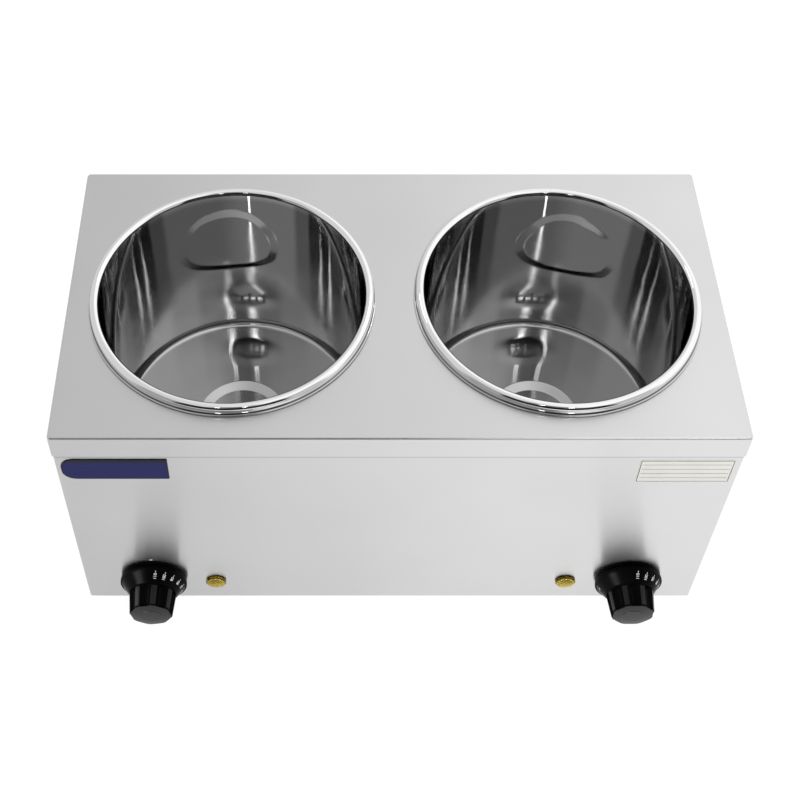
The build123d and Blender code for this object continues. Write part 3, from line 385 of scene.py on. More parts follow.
def amber_lens():
    """Amber lens whose facets glint like a reflector behind clear plastic."""
    material, tree, shader = new_material("amber_lens", (0.86, 0.62, 0.05), metallic=0.85)
    depth = noise(tree, 420.0, detail=2.0)
    tint = tinted(tree, remap(tree, depth, 0, 1), (0.62, 0.40, 0.015), (0.95, 0.76, 0.10))
    tree.links.new(tint, shader.inputs["Base Color"])
    tree.links.new(remap(tree, depth, 0.08, 0.16), shader.inputs["Roughness"])
    return material


def lamp_ring():
    """Lamp holder: black at the panel, its front edge painted amber as if lit through the lens."""
    black = (0.002, 0.002, 0.002)
    material, tree, shader = new_material("lamp_ring", black, metallic=0.6)
    depth = surface_parts(tree, "Position")["Y"]
    ahead = remap(tree, depth, 1, 0, start=front_y - ring_lit, end=front_y - ring_dark)
    mottle = noise(tree, 420.0, detail=2.0)
    spread = remap(tree, mottle, 0, 1, start=0.40, end=0.60)
    amber = tinted(tree, spread, (0.02, 0.013, 0.002), (0.62, 0.43, 0.05))
    made = add_node(tree, "ShaderNodeMix", data_type="RGBA")
    made.inputs[6].default_value = (*black, 1.0)
    tree.links.new(ahead, made.inputs[0])
    tree.links.new(amber, made.inputs[7])
    tree.links.new(made.outputs[2], shader.inputs["Base Color"])
    tree.links.new(remap(tree, mottle, 0.20, 0.32), shader.inputs["Roughness"])
    shader.inputs["Specular IOR Level"].default_value = 0.1
    return material


looks = {
    "stainless_satin": satin_steel(),
    "stainless_polished": polished_steel(),
    "zinc_steel": plated_steel("zinc_steel", (0.62, 0.63, 0.65), 0.30),
    "shield_steel": plated_steel("shield_steel", (0.66, 0.66, 0.63), 0.38),
    "element_sheath": plated_steel("element_sheath", (0.20, 0.17, 0.15), 0.48),
    "copper": plated_steel("copper", (0.72, 0.36, 0.20), 0.30),
    "black_phenolic": moulded("black_phenolic", (0.0006,) * 3, 0.24, 900.0, 0.006 * mm, 0.03),
    "black_nylon": moulded("black_nylon", (0.002, 0.002, 0.002), 0.40, gloss=0.08),
    "amber_lens": amber_lens(),
    "rubber_black": moulded("rubber_black", (0.018, 0.018, 0.018), 0.62, 450.0, 0.04 * mm),
    "silicone_grey": moulded("silicone_grey", (0.42, 0.42, 0.40), 0.55),
    "control_body": moulded("control_body", (0.62, 0.58, 0.48), 0.50),
    "block_white": moulded("block_white", (0.78, 0.76, 0.70), 0.40),
    "wire_sleeve": moulded("wire_sleeve", (0.36, 0.05, 0.03), 0.48),
    "badge_blue": moulded("badge_blue", (0.016, 0.018, 0.102), 0.30, 300.0, 0.004 * mm, 0.07),
    "label_cream": moulded("label_cream", (0.79, 0.785, 0.73), 0.45, 300.0, 0.004 * mm),
}
pressed_mark = pressed_steel()
# Lighter, glossier black: a painted highlight on the grip's ridges, and its satin front face
satin_highlit_phenolic = moulded("satin_highlit_phenolic", (0.007, 0.007, 0.007), 0.32, 900.0, 0.006 * mm, 0.22)
# Dark amber painted as shade in the lens's facet valleys and at its edge
lens_groove_shade = moulded("lens_groove_shade", (0.05, 0.028, 0.002), 0.30, 400.0, 0.004 * mm)
print_white = moulded("print_white", (0.88, 0.88, 0.87), 0.45, 400.0, 0.003 * mm)
print_dark = moulded("print_dark", (0.06, 0.056, 0.05), 0.45, 400.0, 0.003 * mm, 0.2)
badge_edge = moulded("badge_edge", (0.004, 0.004, 0.016), 0.35, 300.0, 0.004 * mm, 0.15)
ring_look = lamp_ring()

slot_of = {row["node"]: row["material_slot"] for row in frame["record"]["subparts"]}
for name, cad_node in nodes.items():
    cad_node.data.materials.clear()
    look = ring_look if name.startswith("pilot_holder") else looks[slot_of[name]]
    cad_node.data.materials.append(look)


# Mesh helpers

def arc(centre, r, start, end, steps):
    """Points of an arc in a section, degrees."""
    points = []
    for step in range(steps + 1):
        a = math.radians(start + (end - start) * step / steps)
        points.append((centre[0] + r * math.cos(a), centre[1] + r * math.sin(a)))
    return points


def subdivided(section, longest=3.0 * mm, support=0.4 * mm):
    """Section with its long runs cut up and held straight close to their ends."""
    points = [section[0]]
    for before, after in zip(section, section[1:]):
        run = Vector(after) - Vector(before)
        if run.length > 4 * support:
            cuts = max(1, math.ceil(run.length / longest))
            shares = [step / cuts for step in range(1, cuts)]
            shares = [support / run.length, *shares, 1 - support / run.length]
            points.extend(tuple(Vector(before) + run * share) for share in shares)
        points.append(after)
    return points


def add_piece(name, vertices, faces, material, body, slot, smooth_angle=40.0, replaces=()):
    """Mesh piece in the row frame that rides on a body."""
    mesh = bpy.data.meshes.new(name)
    mesh.from_pydata(vertices, [], faces)
    mesh.validate()
    mesh.materials.append(material)
    mesh.shade_smooth()
    mesh.set_sharp_from_angle(angle=math.radians(smooth_angle))
    piece = bpy.data.objects.new(name, mesh)
    bpy.context.scene.collection.objects.link(piece)
    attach(piece, body)
    if replaces:
        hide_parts(*replaces)
    return piece


def paint(piece, place, material, chosen):
    """Second material on the faces whose middle, in the placed frame, is chosen."""
    piece.data.materials.append(material)
    back = place.inverted()
    for face in piece.data.polygons:
        if chosen(back @ face.center):
            face.material_index = 1


def turned(section, place, steps, radius_at=None):
    """Vertices and faces of a section turned about a placed local +Z axis.

    radius_at, where given, changes the radius by angle: it takes r, height and angle.
    """
    rings = []
    vertices = []
    for r, height in section:
        if r < 1e-7:
            rings.append([len(vertices)])
            vertices.append(place @ Vector((0, 0, height)))
            continue
        ring = []
        for step in range(steps):
            a = 2 * math.pi * step / steps
            at = radius_at(r, height, a) if radius_at else r
            ring.append(len(vertices))
            vertices.append(place @ Vector((at * math.cos(a), at * math.sin(a), height)))
        rings.append(ring)
    faces = []
    for low, high in zip(rings, rings[1:]):
        for step in range(steps):
            after = (step + 1) % steps
            if len(low) == 1 and len(high) == 1:
                continue
            if len(low) == 1:
                faces.append((low[0], high[step], high[after]))
            elif len(high) == 1:
                faces.append((low[step], low[after], high[0]))
            else:
                faces.append((low[step], low[after], high[after], high[step]))
    return vertices, faces


def merged(*shapes):
    """Several lists of vertices and faces as one."""
    vertices = []
    faces = []
    for more_vertices, more_faces in shapes:
        start = len(vertices)
        vertices.extend(more_vertices)
        faces.extend(tuple(start + index for index in face) for face in more_faces)
    return vertices, faces


def facing_front(x, z):
    """Placement whose local x is +X, local y is +Z, and local z comes out of the front panel."""
    return Matrix(((1, 0, 0, x), (0, 0, -1, front_y), (0, 1, 0, z), (0, 0, 0, 1)))


# Wells

def well_section():
    """Closed section of a well, from the middle of the floor round the rim and back."""
    floor_z = deck_z - well_depth
    wall_low = floor_z + well_corner_r
    corner_x = well_r - well_corner_r
    bead_z = deck_z + rim_height - bead_r
    rim_r = well_r + 2 * bead_r
    foot_z = deck_z + seal_height + well_sheet
    under_z = deck_z + seal_height
    disc_z = floor_z - ring_sink
    return [
        (0, disc_z),
        (ring_inner_r - ring_edge, disc_z),
        (ring_inner_r + ring_edge, disc_z + ring_edge / 2),
        (ring_outer_r - ring_edge, floor_z - ring_edge / 2),
        (ring_outer_r + ring_edge, floor_z),
        *arc((corner_x, wall_low), well_corner_r, -90, 0, 12),
        *arc((well_r + bead_r, bead_z), bead_r, 180, 0, 32),
        *arc((rim_r + flare_r, foot_z + flare_r), flare_r, 180, 270, 8),
        (rim_r + rim_foot, foot_z),
        (rim_r + rim_foot, under_z),
        *arc((rim_r + flare_r, foot_z + flare_r), flare_r + well_sheet, 270, 180, 8),
        *arc((well_r + bead_r, bead_z), bead_r - well_sheet, 0, 180, 24),
        *arc((corner_x, wall_low), well_corner_r + well_sheet, 0, -90, 10),
        (ring_outer_r, floor_z - well_sheet),
        (ring_inner_r, disc_z - well_sheet),
        (0, disc_z - well_sheet),
    ]


# Pressed level mark: a line with ticks, and the shallow bulge of the wall round it
mark_width = 28.0 * mm
mark_ticks = 5
mark_tick = 7.0 * mm
mark_long_tick = 12.0 * mm
mark_r = 1.3 * mm
mark_below_deck = 142.0 * mm
mark_offset = 4.0 * mm
bulge_rise = 1.1 * mm
bulge_across = 17.0 * mm
bulge_up = 11.0 * mm


def bulged(r, height, angle):
    """Radius of the wall with the shallow bulge that pressing the level mark leaves."""
    if r < well_r - well_corner_r or height > deck_z:
        return r
    across = (angle - math.radians(90)) * well_r + mark_offset
    up = height - (deck_z - mark_below_deck) - mark_tick
    share = math.exp(-((across / bulge_across) ** 2) - (up / bulge_up) ** 2)
    return r - bulge_rise * share


def level_mark(side):
    """Pressed level line with ticks on the back wall."""
    centre = well_at[side]
    low = deck_z - mark_below_deck
    steps = 12
    routes = [[(mark_width * (step / steps - 0.5), 0) for step in range(steps + 1)]]
    for step in range(mark_ticks):
        across = mark_width * (step / (mark_ticks - 1) - 0.5)
        routes.append([(across, 0), (across, mark_tick if step % 2 else mark_long_tick)])
    curve = bpy.data.curves.new("level_mark", "CURVE")
    curve.dimensions = "3D"
    curve.bevel_depth = mark_r
    curve.bevel_resolution = 4
    curve.use_fill_caps = True
    for route in routes:
        line = curve.splines.new("POLY")
        line.points.add(len(route) - 1)
        for point, (across, up) in zip(line.points, route):
            a = math.radians(90) - (across + mark_offset) / well_r
            r = bulged(well_r, low + up, a)
            point.co = (centre.x + r * math.cos(a), centre.y + r * math.sin(a), low + up, 1)
    holder = bpy.data.objects.new("level_mark_line", curve)
    mesh = bpy.data.meshes.new_from_object(holder)
    bpy.data.objects.remove(holder)
    mesh.materials.clear()
    mesh.materials.append(pressed_mark)
    mesh.shade_smooth()
    piece = bpy.data.objects.new(f"level_mark_{side}", mesh)
    bpy.context.scene.collection.objects.link(piece)
    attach(piece, "case")


well_steps = 288
stud_steps = 24
stud_r = 3.0 * mm
stud_top = deck_z - well_depth - ring_sink - well_sheet
for side, _ in sides:
    place = Matrix.Translation((well_at[side].x, well_at[side].y, 0))
    stud_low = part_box(f"well_{side}")[0].z
    stud = turned([(0, stud_low), (stud_r, stud_low), (stud_r, stud_top)], place, stud_steps)
    shell = turned(subdivided(well_section()), place, well_steps, bulged)
    add_piece(
        f"spun_well_{side}",
        *merged(shell, stud),
        looks["stainless_polished"],
        "case",
        "stainless_polished",
        smooth_angle=50.0,
        replaces=[f"well_{side}"],
    )
    level_mark(side)


# Dials

skirt_steps = 192
grip_steps = 256

# Points that end the cone under the grip, from the grip's base and the cone's front
cone_end = ((0.5 * mm, -0.6 * mm), (-0.2 * mm, -0.1 * mm), (-4.0 * mm, 0.0))

# Front face of the grip: degrees of its sphere left out next to the rounded edge, and how close
# in height a point belongs to it
face_step = 0.4
face_margin = 0.05 * mm

# Lighter black: how far behind the grip's front the satin face ends and the ridges' painted
# highlight begins, and how far in front of the cone it ends
lighter_face_depth = 0.1 * mm
ridge_light_high = 1.6 * mm
ridge_light_low = 1.5 * mm


def skirt_section():
    """Section of the skirt and cone, from the spindle's bore outwards and up to the grip."""
    ledge_r = skirt_r - skirt_step
    round_r = skirt_edge
    fine_r = 0.3 * mm
    return [
        (hub_bore_r, skirt_back),
        (skirt_r - round_r, skirt_back),
        *arc((skirt_r - round_r, skirt_back + round_r), round_r, -90, 0, 4),
        *arc((skirt_r - round_r, skirt_front - round_r), round_r, 0, 90, 4),
        (ledge_r + fine_r / 2, skirt_front),
        (ledge_r, skirt_front + fine_r / 2),
        *arc((ledge_r - fine_r, skirt_front + step_rise - fine_r), fine_r, 0, 45, 3),
        *((grip_base_r + across, cone_front + ahead) for across, ahead in cone_end),
    ]


def flute_share(angle, turn):
    """Depth of the flutes by angle, from 0 on a ridge to 1 in the middle of a flute."""
    pitch = 2 * math.pi / lobes
    ridge = math.radians(90 - first_ridge - turn)
    from_ridge = (angle - ridge) % pitch / pitch
    from_middle = abs(from_ridge - 0.5) * 2 / (1 - ridge_share)
    if from_middle > 1:
        return 0.0
    return 1 - from_middle**flute_power


def grip_section():
    """Section of the grip from its root to the middle of its front face."""
    steps = 16
    root = cone_front - grip_root
    edge = (grip_front_r - grip_edge_r, grip_front - grip_edge_r)
    lean = grip_front_r - grip_base_r
    side_run = [
        (grip_base_r + lean * step / steps, root + (edge[1] - root) * step / steps)
        for step in range(steps)
    ]
    sphere_r = (edge[0] ** 2 + dome**2) / (2 * dome)
    crown = (0, grip_front + dome - sphere_r)
    face_half = math.degrees(math.asin(edge[0] / sphere_r)) - face_step
    disc_half = math.degrees(math.asin(disc_r / sphere_r))
    face = arc(crown, sphere_r, 90 - face_half, 90 - disc_half, 6)
    disc = [
        (disc_top_r * share, grip_front + dome - disc_fall * share**2)
        for share in (step / 6 for step in range(6, -1, -1))
    ]
    return [*side_run, *arc(edge, grip_edge_r, 0, 80, 6), *face, *disc]


def grip_radius(turn):
    """Radius of the fluted grip: flutes start rounded at the root and run out at the front."""
    face_z = grip_front - face_margin
    face_r = grip_front_r - grip_edge_r

    def at(r, height, angle):
        if height > face_z and r < face_r:
            return r
        ahead = min(1.0, max(0.0, (grip_front - height) / flute_run_out))
        behind = min(1.0, max(0.0, (height - cone_front + flute_run_in) / flute_run_in))
        depth = flute_cut * math.sqrt(1 - (1 - ahead) ** 2) * math.sqrt(1 - (1 - behind) ** 2)
        return r - depth * flute_share(angle, turn)

    return at


def on_worn_edge(turn):
    """Test for the grip's satin front face and for the ridges' tops, where a highlight is painted."""

    def worn(spot):
        if spot.z > grip_front - lighter_face_depth:
            return True
        on_grip = cone_front + ridge_light_low < spot.z < grip_front - ridge_light_high
        return on_grip and flute_share(math.atan2(spot.y, spot.x), turn) == 0

    return worn


# Numbers of the dials: how far clockwise of the top each stands, in degrees
first_number = 9.0
number_pitch = 18.7
off_mark = 266.0
numbers = [
    (str(value), first_number + (110 - value) / 10 * number_pitch) for value in range(110, 20, -10)
]
numbers.append(("0", off_mark))

# Digits: height, its share of the font's size, squeeze along the run, thickening of the strokes
digit_height = 2.6 * mm
digit_size_share = 0.7
digit_squeeze = 0.96
digit_weight = 0.02 * mm

# Ticks, the gap from them to the digits, and the print's place on the cone
tick_length = 1.5 * mm
tick_width = 0.42 * mm
digit_gap = 0.5 * mm
print_margin = 0.7 * mm
print_lift = 0.05 * mm


def on_cone(side, slant, turn, across):
    """Point on the dial's cone: slant from its outer edge inwards, turn clockwise in degrees."""
    outer = Vector((skirt_r - skirt_step, skirt_front + step_rise))
    inner = Vector((grip_base_r, cone_front))
    along = (inner - outer).normalized()
    out = Vector((along.y, -along.x))
    spot = outer + along * slant + out * print_lift
    a = math.radians(turn) - across / spot.x
    place = facing_front(knob_at[side].x, knob_at[side].z)
    return place @ Vector((spot.x * math.sin(a), spot.x * math.cos(a), spot.y))


def digits_mesh(text):
    """Flat mesh of a number whose right end is at the origin."""
    curve = bpy.data.curves.new("digits", "FONT")
    curve.body = text
    curve.align_x = "RIGHT"
    curve.align_y = "CENTER"
    curve.size = digit_height / digit_size_share
    curve.offset = digit_weight
    holder = bpy.data.objects.new("digits", curve)
    bpy.context.scene.collection.objects.link(holder)
    bpy.context.view_layer.update()
    mesh = bpy.data.meshes.new_from_object(holder)
    bpy.data.objects.remove(holder)
    return mesh


def dial_print(side):
    """White numbers that run outwards along the cone, each with a tick at the outer edge."""
    vertices = []
    faces = []
    for text, turn in numbers:
        mesh = digits_mesh(text)
        start = len(vertices)
        inner_end = print_margin + tick_length + digit_gap
        for vertex in mesh.vertices:
            slant = inner_end - vertex.co.x * digit_squeeze
            vertices.append(on_cone(side, slant, turn, vertex.co.y))
        faces.extend(tuple(start + index for index in face.vertices) for face in mesh.polygons)
        bpy.data.meshes.remove(mesh)
        start = len(vertices)
        half = tick_width / 2
        for slant, across in (
            (print_margin, -half),
            (print_margin, half),
            (print_margin + tick_length, half),
            (print_margin + tick_length, -half),
        ):
            vertices.append(on_cone(side, slant, turn, across))
        faces.append((start, start + 1, start + 2, start + 3))
    add_piece(
        f"dial_numbers_{side}", vertices, faces, print_white, f"dial_{side}", "black_phenolic"
    )


for side, _ in sides:
    place = facing_front(knob_at[side].x, knob_at[side].z)
    skirt = turned(subdivided(skirt_section(), support=0.1 * mm), place, skirt_steps)
    grip = turned(grip_section(), place, grip_steps, grip_radius(ridge_turn[side]))
    knob = add_piece(
        f"dial_knob_{side}",
        *merged(skirt, grip),
        looks["black_phenolic"],
        f"dial_{side}",
        "black_phenolic",
        smooth_angle=38.0,
        replaces=[f"knob_{side}"],
    )
    # Painted highlight on the ridges' tops, and the satin front face, in a lighter black
    paint(knob, place, satin_highlit_phenolic, on_worn_edge(ridge_turn[side]))
    dial_print(side)


# Index mark

# White mark on the panel above the left dial, narrower at its lower side
index_width = 3.6 * mm
index_low_width = 1.44 * mm
index_height = 1.6 * mm
index_above = 31.0 * mm
index_lift = 0.05 * mm
place = facing_front(knob_at["left"].x, knob_at["left"].z)
corners = [
    (-index_width / 2, index_above + index_height / 2),
    (index_width / 2, index_above + index_height / 2),
    (index_low_width / 2, index_above - index_height / 2),
    (-index_low_width / 2, index_above - index_height / 2),
]
add_piece(
    "index_mark",
    [place @ Vector((x, y, index_lift)) for x, y in corners],
    [(3, 2, 1, 0)],
    print_white,
    "case",
    "stainless_satin",
)


# Pilot lenses

# Radius, distances of the back and of the edge in front of the panel, and rise of the dome
lens_r = 8.15 * mm
lens_seat = 0.4 * mm
lens_edge = 2.6 * mm
lens_dome = 2.2 * mm

# Facets, the depth where painted shade begins as a share of their height, and the shaded edge
facet_pitch = 2.8 * mm
facet_height = 0.50 * mm
groove_share = 0.62
edge_shade_from_r = 7.9 * mm

# Rings and steps of the mesh, and the outer rings over which the facets fade
lens_rings = 34
lens_steps = 96
fade_rings = 5


def facets(x, y):
    """Height of crossed diagonal ridges."""
    along = math.pi * (x + y) / facet_pitch
    across = math.pi * (x - y) / facet_pitch
    return facet_height * (abs(math.sin(along)) * abs(math.sin(across)) - 1)


def lens(side):
    """Domed lens with a diamond pattern, closed at the back."""
    place = facing_front(lamp_at[side].x, lamp_at[side].z)
    sphere_r = (lens_r**2 + lens_dome**2) / (2 * lens_dome)
    vertices = [place @ Vector((0, 0, lens_edge + lens_dome + facets(0, 0)))]
    rings = [[0]]
    for row in range(1, lens_rings + 1):
        r = lens_r * row / lens_rings
        height = lens_edge + lens_dome - sphere_r + math.sqrt(sphere_r**2 - r**2)
        fade = min(1.0, (lens_rings - row) / fade_rings)
        ring = []
        for step in range(lens_steps):
            a = 2 * math.pi * step / lens_steps
            x = r * math.cos(a)
            y = r * math.sin(a)
            ring.append(len(vertices))
            vertices.append(place @ Vector((x, y, height + fade * facets(x, y))))
        rings.append(ring)
    back = []
    for step in range(lens_steps):
        a = 2 * math.pi * step / lens_steps
        back.append(len(vertices))
        vertices.append(place @ Vector((lens_r * math.cos(a), lens_r * math.sin(a), lens_seat)))
    rings.append(back)
    rings.append([len(vertices)])
    vertices.append(place @ Vector((0, 0, lens_seat)))
    faces = []
    for low, high in zip(rings, rings[1:]):
        for step in range(lens_steps):
            after = (step + 1) % lens_steps
            if len(low) == 1:
                faces.append((low[0], high[step], high[after]))
            elif len(high) == 1:
                faces.append((low[step], high[0], low[after]))
            else:
                faces.append((low[step], high[step], high[after], low[after]))
    made = add_piece(
        f"faceted_lens_{side}",
        vertices,
        faces,
        looks["amber_lens"],
        "case",
        "amber_lens",
        smooth_angle=12.0,
        replaces=[f"pilot_lens_{side}"],
    )

    def in_groove(spot):
        """Painted shade: the valleys between the ridges, and the edge that the ring shades."""
        if math.hypot(spot.x, spot.y) > edge_shade_from_r:
            return True
        return facets(spot.x, spot.y) < -groove_share * facet_height

    # Painted shade on the facets' valleys and the lens's edge
    paint(made, place, lens_groove_shade, in_groove)


for side, _ in sides:
    lens(side)


# Blank plates

# Least corner radius of a plate's field and of a printed line
field_least_r = 0.2 * mm
line_least_r = 0.15 * mm

# Plates: chamfer of the body, where the body ends and the field begins and ends as shares of the
# thickness, and the field's chamfer
body_edge = 0.2 * mm
body_front = 0.96
field_back = 0.50
field_front = 0.98
field_edge = 0.02 * mm


def outline(width, height, radii, steps=8):
    """Rounded rectangle with a radius for each corner, from the lower left counter-clockwise."""
    points = []
    for (sx, sy), r, start in zip(((-1, -1), (1, -1), (1, 1), (-1, 1)), radii, (180, 270, 0, 90)):
        centre = (sx * (width / 2 - r), sy * (height / 2 - r))
        points.extend(arc(centre, r, start, start + 90, steps))
    return points


def slab(centre, points, back, front, edge=0.0):
    """Flat plate between two distances in front of the panel, its front edge chamfered."""
    place = facing_front(*centre)
    count = len(points)
    width = max(x for x, _ in points)
    height = max(y for _, y in points)
    inner = [(x * (1 - edge / width), y * (1 - edge / height)) for x, y in points]
    vertices = [place @ Vector((x, y, back)) for x, y in points]
    vertices += [place @ Vector((x, y, front - edge)) for x, y in points]
    vertices += [place @ Vector((x, y, front)) for x, y in inner]
    faces = [tuple(range(count - 1, -1, -1)), tuple(range(2 * count, 3 * count))]
    for row in (0, count):
        for step in range(count):
            after = (step + 1) % count
            faces.append((row + step, row + after, row + count + after, row + count + step))
    return vertices, faces


def frame_line(centre, width, height, radii, inset, line, lift):
    """Printed line that follows a plate's outline at an inset."""
    rings = []
    for off in (inset, inset + line):
        inner = [max(line_least_r, r - off) for r in radii]
        rings.append(outline(width - 2 * off, height - 2 * off, inner))
    place = facing_front(*centre)
    count = len(rings[0])
    vertices = [place @ Vector((x, y, lift)) for ring in rings for x, y in ring]
    faces = []
    for step in range(count):
        after = (step + 1) % count
        faces.append((step, after, count + after, count + step))
    return vertices, faces


def band_above(centre, points, cut, lift):
    """Flat area of an outline above a height."""
    upper = [(x, y) for x, y in points if y > cut]
    left = min(x for x, _ in upper)
    right = max(x for x, _ in upper)
    place = facing_front(*centre)
    corners = [(right, cut), *upper, (left, cut)]
    return [place @ Vector((x, y, lift)) for x, y in corners], [tuple(range(len(corners)))]


def plate(node, name, radii, edge_material, inset):
    """Plate with a chamfered edge and a blank field, in place of a node."""
    low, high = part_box(node)
    centre = ((low.x + high.x) / 2, (low.z + high.z) / 2)
    width = high.x - low.x
    height = high.z - low.z
    thick = high.y - low.y
    slot = slot_of[node]
    edge = min(body_edge, thick / 3)
    body = slab(centre, outline(width, height, radii), 0, thick * body_front, edge)
    add_piece(
        f"{name}_body", *body, edge_material, "case", slot, smooth_angle=25.0, replaces=[node]
    )
    inner = [max(field_least_r, r - inset) for r in radii]
    field_outline = outline(width - 2 * inset, height - 2 * inset, inner)
    field = slab(centre, field_outline, thick * field_back, thick * field_front, field_edge)
    add_piece(f"{name}_field", *field, looks[slot], "case", slot, smooth_angle=25.0)
    return centre, width, height, thick, field_outline


badge_radii = [11 * mm, 0.8 * mm, 0.8 * mm, 11 * mm]
badge_inset = 1.1 * mm
badge_band = 4.5 * mm
centre, _, height, thick, field_outline = plate(
    "badge_plate", "badge", badge_radii, badge_edge, badge_inset
)
# Dark band along the top of the badge's field
band = band_above(centre, field_outline, height / 2 - badge_band, thick)
add_piece("badge_band", *band, badge_edge, "case", "badge_blue")

label_radii = [1.0 * mm] * 4
label_inset = 0.45 * mm
line_inset = 0.5 * mm
line_width = 0.6 * mm
centre, width, height, thick, _ = plate(
    "label_plate", "label", label_radii, looks["label_cream"], label_inset
)
line = frame_line(centre, width, height, label_radii, line_inset, line_width, thick)
add_piece("label_line", *line, print_dark, "case", "label_cream")

# Blank rows of the rating label
rule_count = 4
rule_width = 0.45 * mm
rule_inset = 2.6 * mm
vertices = []
faces = []
place = facing_front(*centre)
for row in range(1, rule_count + 1):
    middle = height / 2 - height * row / (rule_count + 1)
    start = len(vertices)
    for x, y in ((-1, -1), (1, -1), (1, 1), (-1, 1)):
        spot = (x * (width / 2 - rule_inset), middle + y * rule_width / 2, thick)
        vertices.append(place @ Vector(spot))
    faces.append((start, start + 1, start + 2, start + 3))
add_piece("label_rules", vertices, faces, print_dark, "case", "label_cream")


# Floor, light and camera

floor_size = 8.0
floor_glow = 0.80

# Brightness to the left and to the right, and the two X that it changes between: of the floor as
# metal shows it, in metres, and of the studio, as a part of the direction
floor_glows = (0.56, 0.87)
floor_ends = (-0.30, 0.10)
world_levels = (0.73, 1.13)
world_ends = (-0.20, 0.25)

# Darker parts of the studio behind the camera: where they begin and are full in degrees away
# from straight behind the object, the elevations where they fade in and out, and the part of the
# light that is kept
dark_zones = (
    (108, 120, -90, -89, 51.2, 52.4, 0.50),
    (139, 145, -90, -89, 50.0, 52.4, 0.06),
    (168, 175, -90, -89, 57.0, 61.0, 0.45),
    (150, 165, 56.0, 58.0, 68.0, 74.0, 0.15),
)


def shown_ray(tree):
    """1 for camera, glossy and transmission rays, else 0."""
    rays = add_node(tree, "ShaderNodeLightPath").outputs
    first = joined_math(tree, "MAXIMUM", rays["Is Camera Ray"], rays["Is Glossy Ray"])
    return joined_math(tree, "MAXIMUM", first, rays["Is Transmission Ray"])


def pale_floor():
    """Floor that shows as white, keeps a soft shadow, and looks dimmer to the left in metal."""
    mesh = bpy.data.meshes.new("floor")
    corners = [(x * floor_size, y * floor_size, 0) for x, y in ((-1, -1), (1, -1), (1, 1), (-1, 1))]
    mesh.from_pydata(corners, [], [(0, 1, 2, 3)])
    material = bpy.data.materials.new("pale_floor")
    material.use_nodes = True
    tree = material.node_tree
    tree.nodes.clear()
    matt = add_node(tree, "ShaderNodeBsdfDiffuse", {"Color": (0.78, 0.78, 0.78, 1)})
    faint = add_node(tree, "ShaderNodeBsdfDiffuse", {"Color": (0.34, 0.34, 0.34, 1)})
    place = surface_parts(tree, "Position")
    in_metal = remap(tree, place["X"], *floor_glows, *floor_ends)
    path = add_node(tree, "ShaderNodeLightPath")
    strength = add_node(tree, "ShaderNodeMix", data_type="FLOAT")
    strength.inputs[3].default_value = floor_glow
    tree.links.new(path.outputs["Is Camera Ray"], strength.inputs[0])
    tree.links.new(in_metal, strength.inputs[2])
    glow = add_node(tree, "ShaderNodeEmission", {"Color": (1, 1, 1, 1)})
    tree.links.new(strength.outputs[0], glow.inputs["Strength"])
    seen = add_node(tree, "ShaderNodeAddShader")
    tree.links.new(faint.outputs[0], seen.inputs[0])
    tree.links.new(glow.outputs[0], seen.inputs[1])
    mix = add_node(tree, "ShaderNodeMixShader")
    tree.links.new(shown_ray(tree), mix.inputs[0])
    tree.links.new(matt.outputs[0], mix.inputs[1])
    tree.links.new(seen.outputs[0], mix.inputs[2])
    output = add_node(tree, "ShaderNodeOutputMaterial")
    tree.links.new(mix.outputs[0], output.inputs["Surface"])
    mesh.materials.append(material)
    floor = bpy.data.objects.new("floor", mesh)
    bpy.context.scene.collection.objects.link(floor)


def smooth_rise(tree, socket, start, end):
    """0 below start, 1 above end, degrees, smooth between."""
    made = add_node(
        tree,
        "ShaderNodeMapRange",
        {"From Min": math.radians(start), "From Max": math.radians(end)},
        interpolation_type="SMOOTHSTEP",
    )
    tree.links.new(socket, made.inputs["Value"])
    return made.outputs["Result"]


def dimmed(tree, level, share, kept):
    """Level lowered to the kept part of itself where the share is 1."""
    cut = joined_math(tree, "MULTIPLY", share, 1 - kept)
    return joined_math(tree, "MULTIPLY", level, joined_math(tree, "SUBTRACT", 1.0, cut))


def studio_world():
    """Soft studio, brighter to the right, dark behind the camera, and white where it is seen."""
    world = bpy.data.worlds.new("studio")
    bpy.context.scene.world = world
    world.use_nodes = True
    tree = world.node_tree
    tree.nodes.clear()
    direction = add_node(tree, "ShaderNodeTexCoord")
    parts = add_node(tree, "ShaderNodeSeparateXYZ")
    tree.links.new(direction.outputs["Generated"], parts.inputs[0])
    azimuth = joined_math(tree, "ARCTAN2", parts.outputs["X"], parts.outputs["Y"])
    turned_away = joined_math(tree, "ABSOLUTE", azimuth, 0.0)
    elevation = joined_math(tree, "ARCSINE", parts.outputs["Z"], 0.0)
    level = remap(tree, parts.outputs["X"], *world_levels, *world_ends)
    for from_az, to_az, in_el, full_el, out_el, end_el, kept in dark_zones:
        side = smooth_rise(tree, turned_away, from_az, to_az)
        begun = smooth_rise(tree, elevation, in_el, full_el)
        above = smooth_rise(tree, elevation, out_el, end_el)
        below = joined_math(tree, "SUBTRACT", begun, above)
        level = dimmed(tree, level, joined_math(tree, "MULTIPLY", side, below), kept)
    light = add_node(tree, "ShaderNodeBackground", {"Color": (1, 1, 1, 1)})
    tree.links.new(level, light.inputs["Strength"])
    white = add_node(tree, "ShaderNodeBackground", {"Color": (1, 1, 1, 1), "Strength": 1.0})
    path = add_node(tree, "ShaderNodeLightPath")
    mix = add_node(tree, "ShaderNodeMixShader")
    tree.links.new(path.outputs["Is Camera Ray"], mix.inputs[0])
    tree.links.new(light.outputs[0], mix.inputs[1])
    tree.links.new(white.outputs[0], mix.inputs[2])
    output = add_node(tree, "ShaderNodeOutputWorld")
    tree.links.new(mix.outputs[0], output.inputs["Surface"])


def seen_from(target, azimuth, elevation, distance):
    """Place that a point sees in a direction: azimuth from +Y towards +X."""
    a = math.radians(azimuth)
    e = math.radians(elevation)
    level = math.cos(e)
    way = Vector((math.sin(a) * level, math.cos(a) * level, math.sin(e)))
    return Vector(target) + way * distance


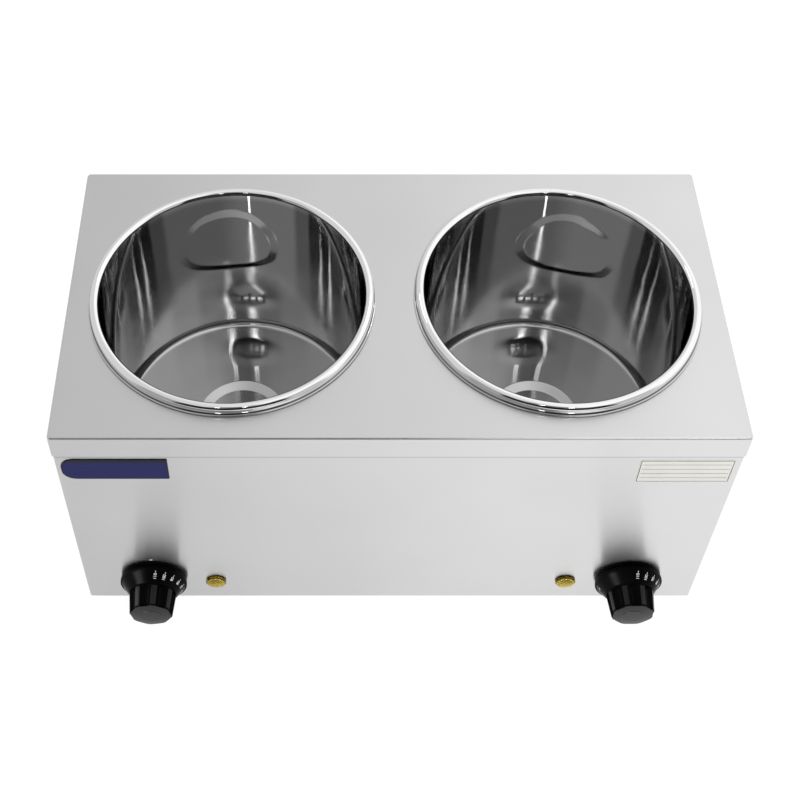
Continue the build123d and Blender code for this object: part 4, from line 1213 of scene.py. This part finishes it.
def softbox(name, place, target, width, height, radiance, only=()):
    """Rectangular lamp that faces a point, for all objects or only for some."""
    lamp = bpy.data.lights.new(name, "AREA")
    lamp.shape = "RECTANGLE"
    lamp.size = width
    lamp.size_y = height
    lamp.energy = radiance * math.pi * width * height
    holder = bpy.data.objects.new(name, lamp)
    holder.location = place
    toward = Vector(target) - Vector(place)
    holder.rotation_euler = toward.to_track_quat("-Z", "Y").to_euler()
    bpy.context.scene.collection.objects.link(holder)
    if only:
        lit = bpy.data.collections.new(f"{name}_lit")
        for piece in only:
            lit.objects.link(piece)
        holder.light_linking.receiver_collection = lit
    return holder


pale_floor()
studio_world()

# Lamps whose reflections make the streaks in the wells, placed as seen from each well's mouth:
# azimuth and elevation in degrees, width and height in metres, radiance
streak_distance = 2.0
for side, sign in sides:
    mouth = (well_at[side].x, well_at[side].y, deck_z)
    pieces = [bpy.data.objects[f"spun_well_{side}"], bpy.data.objects[f"level_mark_{side}"]]
    for name, azimuth, elevation, width, height, radiance in (
        ("back", 34.0, 49.0, 0.08, 0.35, 12.0),
        ("low", 171.0, 51.2, 0.10, 0.06, 12.5),
        ("low_far", 193.0, 51.2, 0.10, 0.06, 13.5),
    ):
        place = seen_from(mouth, -sign * azimuth, elevation, streak_distance)
        softbox(f"streak_{name}_{side}", place, mouth, width, height, radiance, pieces)

# Soft light from the front, with no reflection of its own
fill_place = seen_from((0, 0, 0), azimuth=180, elevation=42, distance=2.2)
fill_target = (0, 0, 0.1)
fill = softbox("fill_front", fill_place, fill_target, width=1.6, height=1.0, radiance=4.0)
fill.visible_glossy = False

# Highlights of the dials
dials = [bpy.data.objects[f"dial_knob_{side}"] for side, _ in sides]
between = (0, front_y, knob_at["left"].z)
glint_place = seen_from(between, azimuth=229, elevation=17, distance=1.8)
softbox("dial_glint", glint_place, between, width=0.9, height=0.6, radiance=16.0, only=dials)
side_place = seen_from(between, azimuth=285, elevation=7, distance=1.8)
softbox("dial_side", side_place, between, width=1.1, height=0.4, radiance=2.8, only=dials)

# Brighter deck towards its right front edge
deck = [nodes["top_deck"]]
edge = (0.15, front_y, deck_z)
edge_place = seen_from(edge, azimuth=158, elevation=50, distance=2.0)
softbox("edge_right", edge_place, edge, width=0.80, height=0.6, radiance=2.2, only=deck)

camera = bpy.data.cameras.new("camera")
camera.sensor_width = 36.0
camera.lens = focal_px * camera.sensor_width / frame_px
camera.shift_x = (frame_px / 2 - centre_px[0]) / frame_px
camera.shift_y = (centre_px[1] - frame_px / 2) / frame_px
viewer = bpy.data.objects.new("camera", camera)
viewer.location = camera_place
viewer.rotation_euler = (math.radians(90 - camera_elevation), 0, 0)
bpy.context.scene.collection.objects.link(viewer)
bpy.context.scene.camera = viewer
bpy.context.scene.view_settings.view_transform = "Standard"
